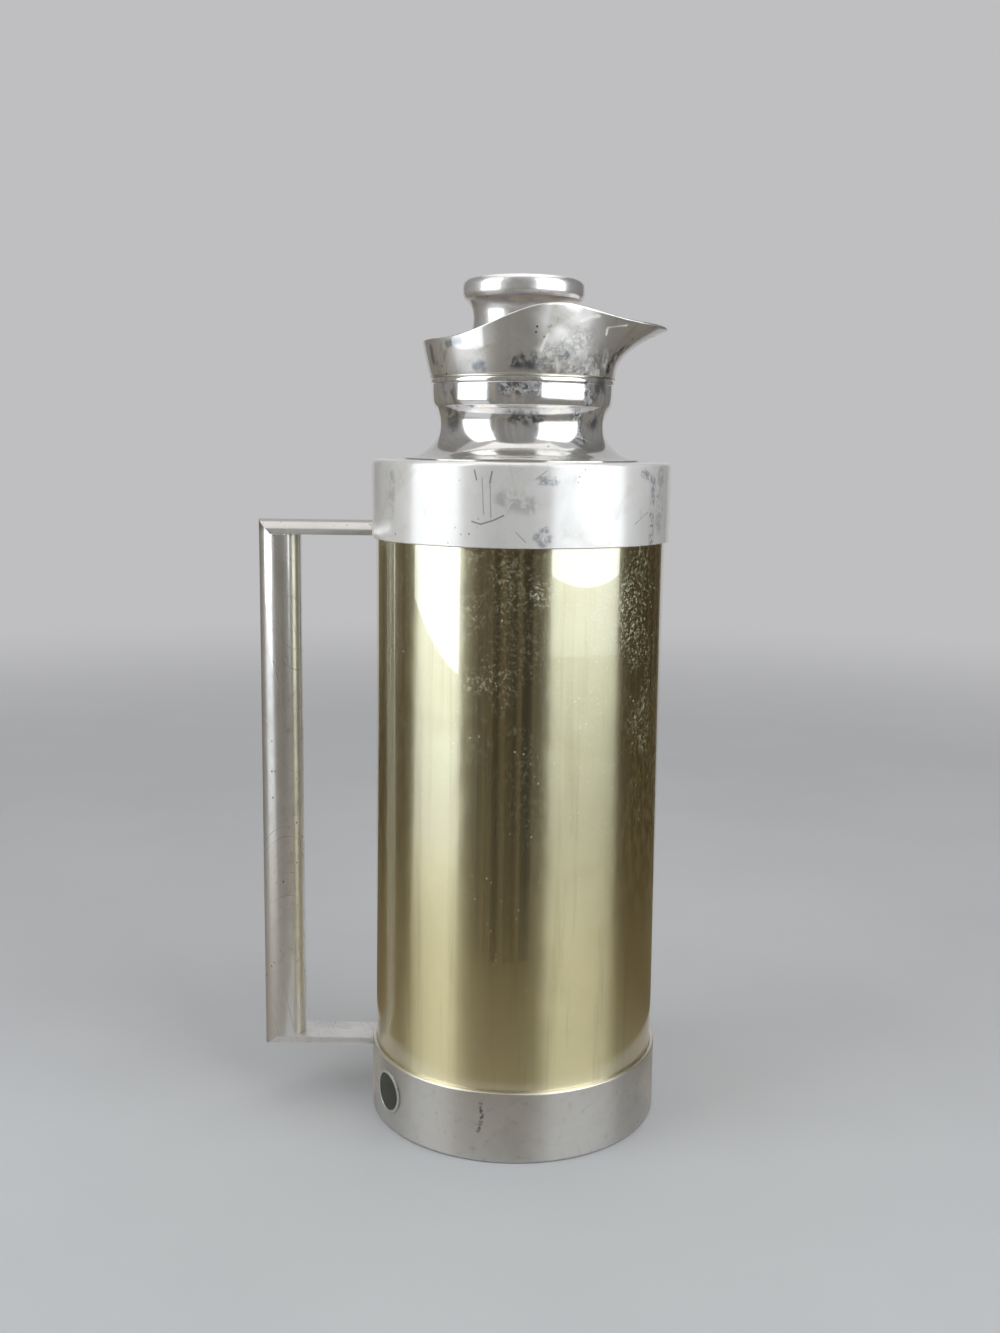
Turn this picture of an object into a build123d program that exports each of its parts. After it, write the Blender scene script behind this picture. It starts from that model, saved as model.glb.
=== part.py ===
from build123d import *
import math
import os

# An insulated serving jug: a double-walled glass flask in a brass sleeve between two plated bands, with
# a bell-shaped neck, a collar with a pouring lip, a straight-barred handle and a lift-out stopper.
# Millimetres. The axis of the jug is Z, the table is z = 0, the handle points to -X and the lip to +X.

# Body
body_radius = 58.0
band_wall = 1.6
sleeve_wall = 0.8
solder_gap = 0.05
lower_band_height = 28.1
upper_band_height = 30.1
shelf_height = 262.7
shelf_thickness = 1.2
shelf_edge_round = 1.6
lower_band_edge = 0.5
foot_edge_round = 1.0
foot_rim_width = 3.4
foot_rim_thickness = 1.5

# Neck bell
bell_wall = 0.9
bell_foot_radius = 45.6
bell_foot_edge = 0.5
bell_foot_overlap = 5.6
throat_rise = 12.1
crease_step = 2.4
crease_rise = 20.8
crease_slope = 0.42
neck_band_step = 1.3
neck_band_rise = 28.3
bead_radius = 1.2
bead_stand = 0.8

# Seam ring and spout collar
seam_ring_thickness = 0.5
seam_ring_stand = 0.15
collar_wall = 1.2
collar_flange_width = 4.0
collar_flare = 5.9
collar_flare_curve = 0.81
collar_trim = 1.0
collar_sections = 7
collar_section_points = 30
spout_length = 20.4
spout_curve = 2.3
spout_sharpness = 20.0
spout_tip_drop = 6.7
rim_shoulder_rise = 25.0
rim_shoulder_x = 13.5
rim_back_drop = 11.7
rim_flat_length = 4.0
rim_middle_drop = 5.65
rim_lip_drop = 4.0
rim_lip_reach = 1.7
rim_tip_slope = 0.14

# Glass flask: two bottles fused at the lip, with a vacuum between them
glass_wall = 1.8
flask_side_gap = 7.05
flask_dome = 30.0
flask_neck_length = 30.0
flask_shoulder_length = 36.0
vacuum_gap = 3.7
mouth_radius = 20.0
neck_gap = 2.4
lip_drop = 5.9
lip_thickness = 2.2
tip_length = 8.0
tip_radius = 3.0
spacer_pad_radius = 8.0
spacer_pad_rise = 40.0
spacer_pad_count = 3
pad_clearance = 0.1

# Rubber and moulded rings at the mouth
gasket_thickness = 2.5
gasket_skirt = 16.0
gasket_wall = 3.2
glass_clearance = 0.2
mouth_ring_clearance = 0.3
mouth_ring_bore_step = 0.3
seat_width = 4.0
seat_drop = 1.8
mouth_ring_height = 3.5

# Stopper
knob_wall = 1.0
knob_height = 29.8
knob_rim_stand = 0.2
knob_rim_height = 8.0
knob_rim_round = 3.4
knob_under_step = 0.9
knob_under_slope = 0.55
knob_rim_bevel = 1.8
knob_waist_step = 3.9
knob_waist_rise = 15.6
knob_hem_inset = 1.1
knob_hem_slope = 0.12
boss_radius = 6.0
plug_flange_thickness = 2.5
plug_clearance = 1.4
plug_nose = 2.3
plug_stem_clearance = 2.3
plug_stem_height = 11.0
plug_edge_round = 1.5
stopper_gasket_thickness = 1.9
seal_ring_height = 2.4
seal_ring_depth = 1.0
seal_clearance = 0.3
seal_pitch = 7.0
seal_ring_count = 2
first_seal_drop = 4.5
counterbore_radius = 5.6
counterbore_depth = 6.0
stopper_screw_radius = 2.5
screw_head_radius = 4.5
screw_head_height = 2.6
screw_slot_width = 1.2
screw_slot_depth = 1.3
screw_thread_length = 10.0
stopper_washer_radius = 5.2
washer_thickness = 0.8
screw_clearance = 0.1

# Base: threaded ring, screw-in cap, its gasket and the cushion under the glass
base_ring_height = 10.5
cap_flange_height = 3.4
cap_gasket_thickness = 1.6
cap_flange_width = 4.3
cap_clearance = 0.3
cap_height = 10.5
cap_plate = 2.5
cap_rim_width = 10.0
cap_bar_width = 11.0
cap_bar_round = 4.0
cap_edge_round = 0.6
cushion_radius = 32.0
cushion_lift = 11.5
cushion_hole_radius = 6.0
cushion_clearance = 0.3

# Handle: one round bar, sliced lengthwise for the arms
grip_radius = 8.3
grip_wall = 1.5
finger_gap = 28.1
arm_depth = 5.6
upper_arm_setback = 0.6
lower_arm_setback = 1.0
handle_screw_radius = 1.5
handle_screw_depth = 11.0
handle_head_radius = 2.8
handle_head_height = 1.8
handle_slot_width = 0.8
handle_slot_depth = 0.9
handle_washer_radius = 3.6
handle_washer_thickness = 0.6
handle_screw_inset = 2.4

# Badge on the lower band
badge_radius = 8.6
bezel_width = 1.3
bezel_stand = 0.7
badge_disc_stand = 0.35
badge_angle = 212.4
badge_height = 15.3

# Radii and heights that follow from the sizes above
band_inner = body_radius - band_wall
sleeve_outer = band_inner - solder_gap
sleeve_inner = sleeve_outer - sleeve_wall
upper_band_bottom = shelf_height - upper_band_height
shelf_underside = shelf_height - shelf_thickness
shelf_hole_radius = bell_foot_radius - bell_foot_overlap
inner_neck_outer = mouth_radius + glass_wall
outer_neck_inner = inner_neck_outer + neck_gap
outer_neck_outer = outer_neck_inner + glass_wall
gasket_outer = outer_neck_outer + glass_clearance + gasket_wall
throat_radius = gasket_outer + glass_clearance + bell_wall
throat_height = shelf_height + throat_rise
crease_radius = throat_radius + crease_step
neck_band_radius = crease_radius + neck_band_step
collar_radius = neck_band_radius + bead_stand
bell_top = shelf_height + neck_band_rise + 2 * bead_radius
collar_bottom = bell_top + seam_ring_thickness
collar_bore = collar_radius - collar_flange_width
flange_top = collar_bottom + collar_wall
collar_height = rim_shoulder_rise + collar_trim
spout_tip = collar_radius + spout_length
spout_tip_rise = rim_shoulder_rise - spout_tip_drop


def tube(outer, inner, bottom, height):
    """Extrude a plain ring upwards from a height."""
    with BuildSketch(Plane.XY.offset(bottom)) as ring:
        Circle(outer)
        Circle(inner, mode=Mode.SUBTRACT)
    extrude(ring.sketch, amount=height)


# Lower band, turned in at the foot so that the sleeve and the base ring stand on it
with BuildPart() as lower_band:
    with BuildSketch(Plane.XZ):
        with BuildLine():
            Polyline(
                (body_radius - foot_rim_width, 0),
                (body_radius - foot_edge_round, 0),
                (body_radius, foot_edge_round),
                (body_radius, lower_band_height - lower_band_edge),
                (body_radius - lower_band_edge, lower_band_height),
                (band_inner, lower_band_height),
                (band_inner, foot_rim_thickness),
                (body_radius - foot_rim_width, foot_rim_thickness),
                close=True,
            )
        make_face()
    revolve(axis=Axis.Z)

# Upper band with the flat shelf that closes the top of the body
with BuildPart() as upper_band:
    with BuildSketch(Plane.XZ):
        with BuildLine():
            Polyline(
                (body_radius - shelf_edge_round, shelf_height),
                (shelf_hole_radius, shelf_height),
                (shelf_hole_radius, shelf_underside),
                (band_inner, shelf_underside),
                (band_inner, upper_band_bottom),
                (body_radius, upper_band_bottom),
                (body_radius, shelf_height - shelf_edge_round),
            )
            RadiusArc(
                (body_radius, shelf_height - shelf_edge_round),
                (body_radius - shelf_edge_round, shelf_height),
                -shelf_edge_round,
            )
        make_face()
    revolve(axis=Axis.Z)

# Brass sleeve, from the foot rim up to the shelf
with BuildPart() as brass_sleeve:
    tube(sleeve_outer, sleeve_inner, foot_rim_thickness, shelf_underside - foot_rim_thickness)


def bell_profile(wall):
    """Half section of the bell: an elliptical flare, a waist, a conical band and a rolled bead."""
    flare_width = bell_foot_radius - throat_radius
    flare_height = throat_rise - bell_foot_edge
    inner_width = flare_width + wall
    inner_height = flare_height + wall
    foot_angle = math.degrees(math.asin(throat_rise / inner_height))
    inner_foot = bell_foot_radius - inner_width * math.cos(math.radians(foot_angle))
    centre = (bell_foot_radius, throat_height)
    crease = (crease_radius, shelf_height + crease_rise)
    band_end = (neck_band_radius, shelf_height + neck_band_rise)
    bead_out = (neck_band_radius + bead_stand, band_end[1] + bead_radius)
    bead_end = (neck_band_radius, bell_top)
    inner_crease = (crease_radius - wall, crease[1])
    inner_top = (neck_band_radius - wall, bell_top)
    EllipticalCenterArc(centre, flare_width, flare_height, start_angle=180, arc_size=90)
    Spline((throat_radius, throat_height), crease, tangents=[(0, 1), (crease_slope, 1)])
    Line(crease, band_end)
    ThreePointArc(band_end, bead_out, bead_end)
    Line(bead_end, inner_top)
    Line(inner_top, inner_crease)
    Spline(inner_crease, (throat_radius - wall, throat_height), tangents=[(-crease_slope, -1), (0, -1)])
    EllipticalCenterArc(centre, inner_width, inner_height, start_angle=180, arc_size=foot_angle)
    Line((inner_foot, shelf_height), (bell_foot_radius, shelf_height))
    Line((bell_foot_radius, shelf_height), (bell_foot_radius, shelf_height + bell_foot_edge))


# Neck bell, spun from sheet, with its foot on the shelf
with BuildPart() as neck_bell:
    with BuildSketch(Plane.XZ):
        with BuildLine():
            bell_profile(bell_wall)
        make_face()
    revolve(axis=Axis.Z)

# Seam ring between the bell and the collar
with BuildPart() as seam_ring:
    tube(collar_radius + seam_ring_stand, collar_bore, bell_top, seam_ring_thickness)


def collar_section(rise, inset):
    """Outline of the collar at a height, from the back: a circle that swells into the lip at +X."""
    back = collar_radius + collar_flare * (rise / collar_height) ** collar_flare_curve - inset
    front = collar_radius + spout_length * (rise / spout_tip_rise) ** spout_curve - inset
    points = []
    for step in range(collar_section_points):
        turn = math.pi + 2 * math.pi * step / collar_section_points
        swell = ((1 + math.cos(turn)) / 2) ** spout_sharpness
        reach = back + (front - back) * swell
        points.append((reach * math.cos(turn), reach * math.sin(turn)))
    return points


def collar_loft(first_rise, inset, mode):
    """Loft the collar's outlines from a height up to its full height."""
    sections = []
    for step in range(collar_sections):
        rise = first_rise + (collar_height - first_rise) * step / (collar_sections - 1)
        with BuildSketch(Plane.XY.offset(collar_bottom + rise)) as section:
            with BuildLine():
                Spline(*collar_section(rise, inset), periodic=True)
            make_face()
        sections.append(section.sketch)
    loft(sections, mode=mode)


def rim_cut():
    """Side view of what is cut away above the rim, from the low back to the tip of the lip."""
    back_x = -2 * collar_radius
    front_x = collar_radius + spout_length * (collar_height / spout_tip_rise) ** spout_curve + collar_wall
    shoulder = (rim_shoulder_x, collar_bottom + rim_shoulder_rise)
    back = (rim_flat_length - collar_radius, shoulder[1] - rim_back_drop)
    middle = ((back[0] + rim_shoulder_x) / 2, shoulder[1] - rim_middle_drop)
    lip = (collar_radius + rim_lip_reach, shoulder[1] - rim_lip_drop)
    tip = (spout_tip, shoulder[1] - spout_tip_drop)
    beyond = (front_x, tip[1] - rim_tip_slope * (front_x - spout_tip))
    Line((back_x, back[1]), back)
    Spline(back, middle, shoulder, tangents=[(1, 0), (1, 0)])
    Spline(shoulder, lip, tip, beyond, tangents=[(1, 0), (1, -rim_tip_slope)])
    Line(beyond, (front_x, collar_bottom + 2 * collar_height))
    Line((front_x, collar_bottom + 2 * collar_height), (back_x, collar_bottom + 2 * collar_height))
    Line((back_x, collar_bottom + 2 * collar_height), (back_x, back[1]))


# Spout collar: a thin flared wall, cut to the sweep of its rim, over a flange that carries the mouth ring
with BuildPart() as spout_collar:
    collar_loft(0, 0, Mode.ADD)
    collar_loft(collar_wall, collar_wall, Mode.SUBTRACT)
    with BuildSketch(Plane.XY.offset(collar_bottom)):
        Circle(collar_bore)
    extrude(amount=collar_wall, mode=Mode.SUBTRACT)
    with BuildSketch(Plane.XZ):
        with BuildLine():
            rim_cut()
        make_face()
    extrude(amount=2 * collar_radius, both=True, mode=Mode.SUBTRACT)

# Glass flask, on its cushion over the base cap and up to the mouth ring's gasket
flask_radius = sleeve_inner - flask_side_gap
flask_bottom = cap_height + cushion_lift
lip_height = collar_bottom - lip_drop
inner_flask_radius = flask_radius - glass_wall - vacuum_gap
inner_flask_bottom = flask_bottom + glass_wall + vacuum_gap
inner_flask_dome = flask_dome - glass_wall - vacuum_gap
flask_shoulder_end = lip_height - flask_neck_length
flask_shoulder_start = flask_shoulder_end - flask_shoulder_length
lip_underside = lip_height - lip_thickness


def bottle_line(radius, bottom, dome, neck, top, lift):
    """One wall of a bottle from the middle of its domed bottom to the top of its neck."""
    start = flask_shoulder_start - lift
    end = flask_shoulder_end - lift
    EllipticalCenterArc((0, bottom + dome), radius, dome, start_angle=270, arc_size=90)
    Line((radius, bottom + dome), (radius, start))
    Spline((radius, start), (neck, end), tangents=[(0, 1), (0, 1)])
    Line((neck, end), (neck, top))


# Outer flask, with the sealed tip in the middle of its bottom
with BuildPart() as outer_flask:
    with BuildSketch(Plane.XZ):
        with BuildLine():
            bottle_line(flask_radius, flask_bottom, flask_dome, outer_neck_outer, lip_underside, 0)
            bottle_line(
                flask_radius - glass_wall,
                flask_bottom + glass_wall,
                flask_dome - glass_wall,
                outer_neck_inner,
                lip_underside,
                glass_wall / 2,
            )
            Line((outer_neck_inner, lip_underside), (outer_neck_outer, lip_underside))
            Line((0, flask_bottom), (0, flask_bottom + glass_wall))
        make_face()
    revolve(axis=Axis.Z)
    with BuildSketch(Plane.XZ):
        with BuildLine():
            Polyline(
                (0, flask_bottom + glass_wall / 2),
                (0, flask_bottom - tip_length),
                (tip_radius / 2, flask_bottom - tip_length + tip_radius / 2),
                (tip_radius, flask_bottom + glass_wall / 2),
                close=True,
            )
        make_face()
    revolve(axis=Axis.Z)

# Inner flask, whose lip turns out over the outer one
with BuildPart() as inner_flask:
    with BuildSketch(Plane.XZ):
        with BuildLine():
            bottle_line(
                inner_flask_radius,
                inner_flask_bottom,
                inner_flask_dome,
                inner_neck_outer,
                lip_underside,
                vacuum_gap,
            )
            bottle_line(
                inner_flask_radius - glass_wall,
                inner_flask_bottom + glass_wall,
                inner_flask_dome - glass_wall,
                mouth_radius,
                lip_height - lip_thickness / 2,
                vacuum_gap + glass_wall / 2,
            )
            Line((0, inner_flask_bottom), (0, inner_flask_bottom + glass_wall))
            Line((inner_neck_outer, lip_underside), (outer_neck_outer, lip_underside))
            Line((outer_neck_outer, lip_underside), (outer_neck_outer, lip_height - lip_thickness / 2))
            RadiusArc(
                (outer_neck_outer, lip_height - lip_thickness / 2),
                (outer_neck_outer - lip_thickness / 2, lip_height),
                -lip_thickness / 2,
            )
            Line(
                (outer_neck_outer - lip_thickness / 2, lip_height),
                (mouth_radius + lip_thickness / 2, lip_height),
            )
            RadiusArc(
                (mouth_radius + lip_thickness / 2, lip_height),
                (mouth_radius, lip_height - lip_thickness / 2),
                -lip_thickness / 2,
            )
        make_face()
    revolve(axis=Axis.Z)

# Spacer pads that hold the two bottles apart
with BuildPart() as spacer_pads:
    with PolarLocations(0, spacer_pad_count):
        with Locations(Location((flask_radius, 0, flask_bottom + spacer_pad_rise), (0, -90, 0))):
            Cylinder(
                spacer_pad_radius,
                glass_wall + 2 * vacuum_gap,
                align=(Align.CENTER, Align.CENTER, Align.MIN),
            )
    with BuildSketch(Plane.XY.offset(flask_bottom)):
        Circle(flask_radius - glass_wall - pad_clearance)
        Circle(inner_flask_radius + pad_clearance, mode=Mode.SUBTRACT)
    extrude(amount=2 * spacer_pad_rise, mode=Mode.INTERSECT)

# Neck gasket: a rubber sleeve that grips the glass neck in the throat and turns in over the lip
gasket_top = lip_height + gasket_thickness
mouth_bore = mouth_radius + mouth_ring_bore_step
with BuildPart() as neck_gasket:
    tube(gasket_outer, outer_neck_outer + glass_clearance, lip_height - gasket_skirt, gasket_skirt)
    tube(gasket_outer, mouth_bore, lip_height, gasket_thickness)

# Mouth ring: the moulded funnel that presses on the gasket and seats the stopper
ring_top = flange_top + mouth_ring_height
seat_height = ring_top - seat_drop
seat_radius = mouth_bore + seat_width
ring_outer = collar_radius - collar_wall - mouth_ring_clearance
ring_skirt = collar_bore - mouth_ring_clearance
with BuildPart() as mouth_ring:
    with BuildSketch(Plane.XZ):
        with BuildLine():
            Polyline(
                (mouth_bore, gasket_top),
                (ring_skirt, gasket_top),
                (ring_skirt, flange_top),
                (ring_outer, flange_top),
                (ring_outer, ring_top),
                (seat_radius, seat_height),
                (mouth_bore, seat_height),
                close=True,
            )
        make_face()
    revolve(axis=Axis.Z)

# Stopper
flange_bottom = seat_height + stopper_gasket_thickness
hem_height = flange_bottom + plug_flange_thickness
knob_top = hem_height + knob_height
knob_hem_radius = seat_radius - knob_hem_inset
knob_rim_radius = knob_hem_radius + knob_rim_stand
knob_waist_radius = knob_hem_radius - knob_waist_step
rim_bottom = knob_top - knob_rim_height
waist_height = knob_top - knob_waist_rise
inside_top = knob_top - knob_wall
stem_top = hem_height + plug_stem_height


def knob_profile(wall):
    """Half section of the hollow knob: flared hem, waist, undercut and rounded top rim."""
    under = (knob_rim_radius - knob_under_step, rim_bottom)
    bevel_top = (knob_rim_radius, rim_bottom + knob_rim_bevel)
    rim_low = (knob_rim_radius, knob_top - knob_rim_round)
    top_edge = (knob_rim_radius - knob_rim_round, knob_top)
    Spline(
        (knob_hem_radius, hem_height),
        (knob_waist_radius, waist_height),
        under,
        tangents=[(-knob_hem_slope, 1), (1, knob_under_slope)],
    )
    Line(under, bevel_top)
    Line(bevel_top, rim_low)
    RadiusArc(rim_low, top_edge, -knob_rim_round)
    Line(top_edge, (0, knob_top))
    Line((0, knob_top), (0, inside_top))
    Line((0, inside_top), (knob_waist_radius - wall, inside_top))
    Line((knob_waist_radius - wall, inside_top), (knob_waist_radius - wall, waist_height))
    Spline(
        (knob_waist_radius - wall, waist_height),
        (knob_hem_radius - wall, hem_height),
        tangents=[(0, -1), (knob_hem_slope, -1)],
    )
    Line((knob_hem_radius - wall, hem_height), (knob_hem_radius, hem_height))


# Knob, spun hollow, with its hem on the plug's flange
with BuildPart() as stopper_knob:
    with BuildSketch(Plane.XZ):
        with BuildLine():
            knob_profile(knob_wall)
        make_face()
    revolve(axis=Axis.Z)

# Threaded boss brazed under the knob's top, down to the plug's stem
with BuildPart() as knob_boss:
    tube(boss_radius, stopper_screw_radius + screw_clearance, stem_top, inside_top - stem_top)

# Plug: flange on the stopper gasket, stem inside the knob, body in the glass neck with two ring grooves
plug_radius = mouth_radius - plug_clearance
plug_stem_radius = knob_waist_radius - knob_wall - plug_stem_clearance
seal_outer = mouth_radius - seal_clearance
groove_radius = plug_radius - seal_ring_depth
seal_heights = [lip_height - first_seal_drop - count * seal_pitch for count in range(seal_ring_count)]
plug_bottom = seal_heights[-1] - seal_ring_height - plug_nose
with BuildPart() as stopper_plug:
    with BuildSketch(Plane.XY.offset(plug_bottom)):
        Circle(plug_radius)
    extrude(amount=flange_bottom - plug_bottom)
    chamfer(stopper_plug.edges().group_by(Axis.Z)[0], plug_edge_round)
    with BuildSketch(Plane.XY.offset(flange_bottom)):
        Circle(knob_hem_radius)
    extrude(amount=plug_flange_thickness)
    with BuildSketch(Plane.XY.offset(hem_height)):
        Circle(plug_stem_radius)
    extrude(amount=plug_stem_height)
    for seal_height in seal_heights:
        with BuildSketch(Plane.XY.offset(seal_height)):
            Circle(plug_radius + seal_ring_depth)
            Circle(groove_radius, mode=Mode.SUBTRACT)
        extrude(amount=-seal_ring_height, mode=Mode.SUBTRACT)
    with BuildSketch(Plane.XY.offset(plug_bottom)):
        Circle(counterbore_radius)
    extrude(amount=counterbore_depth, mode=Mode.SUBTRACT)
    with BuildSketch(Plane.XY.offset(plug_bottom)):
        Circle(stopper_screw_radius + screw_clearance)
    extrude(amount=stem_top - plug_bottom, mode=Mode.SUBTRACT)

# Rubber seal rings in the plug's grooves
with BuildPart() as plug_seal_rings:
    for seal_height in seal_heights:
        with BuildSketch(Plane.XZ):
            with Locations(((groove_radius + seal_outer) / 2, seal_height - seal_ring_height / 2)):
                RectangleRounded(seal_outer - groove_radius, seal_ring_height, seal_ring_depth / 2)
        revolve(axis=Axis.Z)

# Flat rubber gasket under the plug's flange
with BuildPart() as stopper_gasket:
    tube(knob_hem_radius, plug_radius + screw_clearance, seat_height, stopper_gasket_thickness)

# Screw and washer in the plug's counterbore, up into the knob's boss
washer_bottom = plug_bottom + counterbore_depth - washer_thickness
with BuildPart() as stopper_washer:
    tube(stopper_washer_radius, stopper_screw_radius + screw_clearance, washer_bottom, washer_thickness)

with BuildPart() as stopper_screw:
    with BuildSketch(Plane.XY.offset(washer_bottom - screw_head_height)):
        Circle(screw_head_radius)
    extrude(amount=screw_head_height)
    with BuildSketch(Plane.XY.offset(washer_bottom)):
        Circle(stopper_screw_radius)
    extrude(amount=stem_top + screw_thread_length - washer_bottom)
    with BuildSketch(Plane.XY.offset(washer_bottom - screw_head_height)):
        Rectangle(2 * screw_head_radius, screw_slot_width)
    extrude(amount=screw_slot_depth, mode=Mode.SUBTRACT)

# Base ring, soldered inside the sleeve: a threaded bore over a wider recess for the cap's flange
ring_shoulder = cap_flange_height + cap_gasket_thickness
flange_radius = body_radius - foot_rim_width - cap_clearance
cap_thread_radius = flange_radius - cap_flange_width
cap_well_radius = cap_thread_radius - cap_rim_width
thread_bore = cap_thread_radius + cap_clearance
base_ring_top = foot_rim_thickness + base_ring_height
with BuildPart() as base_ring:
    tube(sleeve_inner - solder_gap, thread_bore, foot_rim_thickness, base_ring_height)
    with BuildSketch(Plane.XY.offset(foot_rim_thickness)):
        Circle(flange_radius + cap_clearance)
    extrude(amount=ring_shoulder - foot_rim_thickness, mode=Mode.SUBTRACT)

# Base cap, with two finger wells either side of a bar
with BuildPart() as base_cap:
    with BuildSketch():
        Circle(flange_radius)
    extrude(amount=cap_flange_height)
    chamfer(base_cap.edges().group_by(Axis.Z)[0], cap_edge_round)
    with BuildSketch():
        Circle(cap_thread_radius)
    extrude(amount=cap_height)
    with BuildSketch():
        Circle(cap_well_radius)
        Rectangle(2 * cap_well_radius, cap_bar_width, mode=Mode.SUBTRACT)
        fillet(vertices(), cap_bar_round)
    extrude(amount=cap_height - cap_plate, mode=Mode.SUBTRACT)

# Rubber ring between the cap's flange and the base ring's shoulder
with BuildPart() as base_cap_gasket:
    tube(flange_radius, cap_thread_radius + solder_gap, cap_flange_height, cap_gasket_thickness)


# Cushion: a rubber cup on the cap, dished to the bottom of the glass, with a hole for the sealed tip
def dome_height(radius):
    """Height of the flask's domed bottom at a radius."""
    return flask_bottom + flask_dome * (1 - math.sqrt(1 - (radius / flask_radius) ** 2))


with BuildPart() as flask_cushion:
    with BuildSketch(Plane.XZ):
        with BuildLine():
            low = (cushion_hole_radius, dome_height(cushion_hole_radius) - cushion_clearance)
            middle_radius = (cushion_hole_radius + cushion_radius) / 2
            middle = (middle_radius, dome_height(middle_radius) - cushion_clearance)
            high = (cushion_radius, dome_height(cushion_radius) - cushion_clearance)
            ThreePointArc(low, middle, high)
            Polyline(high, (cushion_radius, cap_height), (cushion_hole_radius, cap_height), low)
        make_face()
    revolve(axis=Axis.Z)

# Handle
grip_distance = body_radius + finger_gap + grip_radius
slice_offset = grip_radius - arm_depth
upper_arm_flat = upper_band_bottom + upper_arm_setback
lower_arm_flat = lower_band_height - lower_arm_setback
mitre_x = -(grip_distance + slice_offset)
outer_x = -(grip_distance + grip_radius)

# Grip: a round tube whose outer slice is mitred and whose inner side ends square on the arms
with BuildPart() as handle_grip:
    with BuildSketch(Plane.XY.offset(lower_arm_flat - arm_depth)):
        with Locations((-grip_distance, 0)):
            Circle(grip_radius)
    extrude(amount=upper_arm_flat - lower_arm_flat + 2 * arm_depth)
    with BuildSketch(Plane.XZ):
        with BuildLine():
            Polyline(
                (mitre_x, upper_arm_flat),
                (mitre_x + 2 * grip_radius, upper_arm_flat),
                (mitre_x + 2 * grip_radius, lower_arm_flat),
                (mitre_x, lower_arm_flat),
                (mitre_x - 2 * arm_depth, lower_arm_flat - 2 * arm_depth),
                (mitre_x - 2 * arm_depth, upper_arm_flat + 2 * arm_depth),
                close=True,
            )
        make_face()
    extrude(amount=2 * grip_radius, both=True, mode=Mode.INTERSECT)
    with BuildSketch(Plane.XY.offset(lower_arm_flat)):
        with Locations((-grip_distance, 0)):
            Circle(grip_radius - grip_wall)
    extrude(amount=upper_arm_flat - lower_arm_flat, mode=Mode.SUBTRACT)


def arm(flat, side):
    """Half-round bar from the mitre to the band, flat towards the other arm; side is 1 up or -1 down."""
    with BuildSketch(Plane.YZ.offset(outer_x)) as section:
        with Locations((0, flat - side * slice_offset)):
            Circle(grip_radius)
        with Locations((0, flat - side * grip_radius)):
            Rectangle(2 * grip_radius, 2 * grip_radius, mode=Mode.SUBTRACT)
    extrude(section.sketch, amount=-outer_x)
    with BuildSketch(Plane.XZ) as mitre:
        with BuildLine():
            Polyline(
                (mitre_x, flat),
                (mitre_x - 2 * arm_depth, flat + side * 2 * arm_depth),
                (mitre_x - 2 * arm_depth, flat - side * arm_depth),
                (mitre_x, flat - side * arm_depth),
                close=True,
            )
        make_face()
    extrude(mitre.sketch, amount=2 * grip_radius, both=True, mode=Mode.SUBTRACT)
    with BuildSketch(Plane.XY.offset(flat - 2 * grip_radius)) as body:
        Circle(body_radius + solder_gap)
    extrude(body.sketch, amount=4 * grip_radius, mode=Mode.SUBTRACT)


# Screws come from inside the sleeve, through the band and into the end of each arm
arm_screws = [upper_arm_flat + handle_screw_inset, lower_arm_flat - handle_screw_inset]
hole_radius = handle_screw_radius + screw_clearance


def screw_hole(height, depth):
    """Cut a screw hole along X from the axis of the jug to a distance outwards on the handle's side."""
    with BuildSketch(Plane.YZ) as hole:
        with Locations((0, height)):
            Circle(hole_radius)
    extrude(hole.sketch, amount=-depth, mode=Mode.SUBTRACT)


screw_reach = body_radius + handle_screw_depth
with BuildPart() as handle_upper_arm:
    arm(upper_arm_flat, 1)
    screw_hole(arm_screws[0], screw_reach)

with BuildPart() as handle_lower_arm:
    arm(lower_arm_flat, -1)
    screw_hole(arm_screws[1], screw_reach)

with upper_band:
    screw_hole(arm_screws[0], screw_reach)

with lower_band:
    screw_hole(arm_screws[1], screw_reach)

with brass_sleeve:
    for screw_height in arm_screws:
        screw_hole(screw_height, screw_reach)

washer_seat = math.sqrt(sleeve_inner**2 - handle_washer_radius**2)
with BuildPart() as handle_washers:
    for screw_height in arm_screws:
        with BuildSketch(Plane.YZ.offset(-washer_seat + handle_washer_thickness)):
            with Locations((0, screw_height)):
                Circle(handle_washer_radius)
                Circle(hole_radius, mode=Mode.SUBTRACT)
        extrude(amount=-handle_washer_thickness)

head_face = -washer_seat + handle_washer_thickness
with BuildPart() as handle_screws:
    for screw_height in arm_screws:
        with BuildSketch(Plane.YZ.offset(head_face + handle_head_height)):
            with Locations((0, screw_height)):
                Circle(handle_head_radius)
        extrude(amount=-handle_head_height)
        with BuildSketch(Plane.YZ.offset(head_face)):
            with Locations((0, screw_height)):
                Circle(handle_screw_radius)
        extrude(amount=-(screw_reach + head_face))
        with BuildSketch(Plane.YZ.offset(head_face + handle_head_height)):
            with Locations((0, screw_height)):
                Rectangle(2 * handle_head_radius, handle_slot_width)
        extrude(amount=-handle_slot_depth, mode=Mode.SUBTRACT)

# Badge, curved to the band
badge_plane = Plane(
    origin=(0, 0, badge_height),
    x_dir=(0, 0, 1),
    z_dir=(math.cos(math.radians(badge_angle)), math.sin(math.radians(badge_angle)), 0),
)


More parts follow.
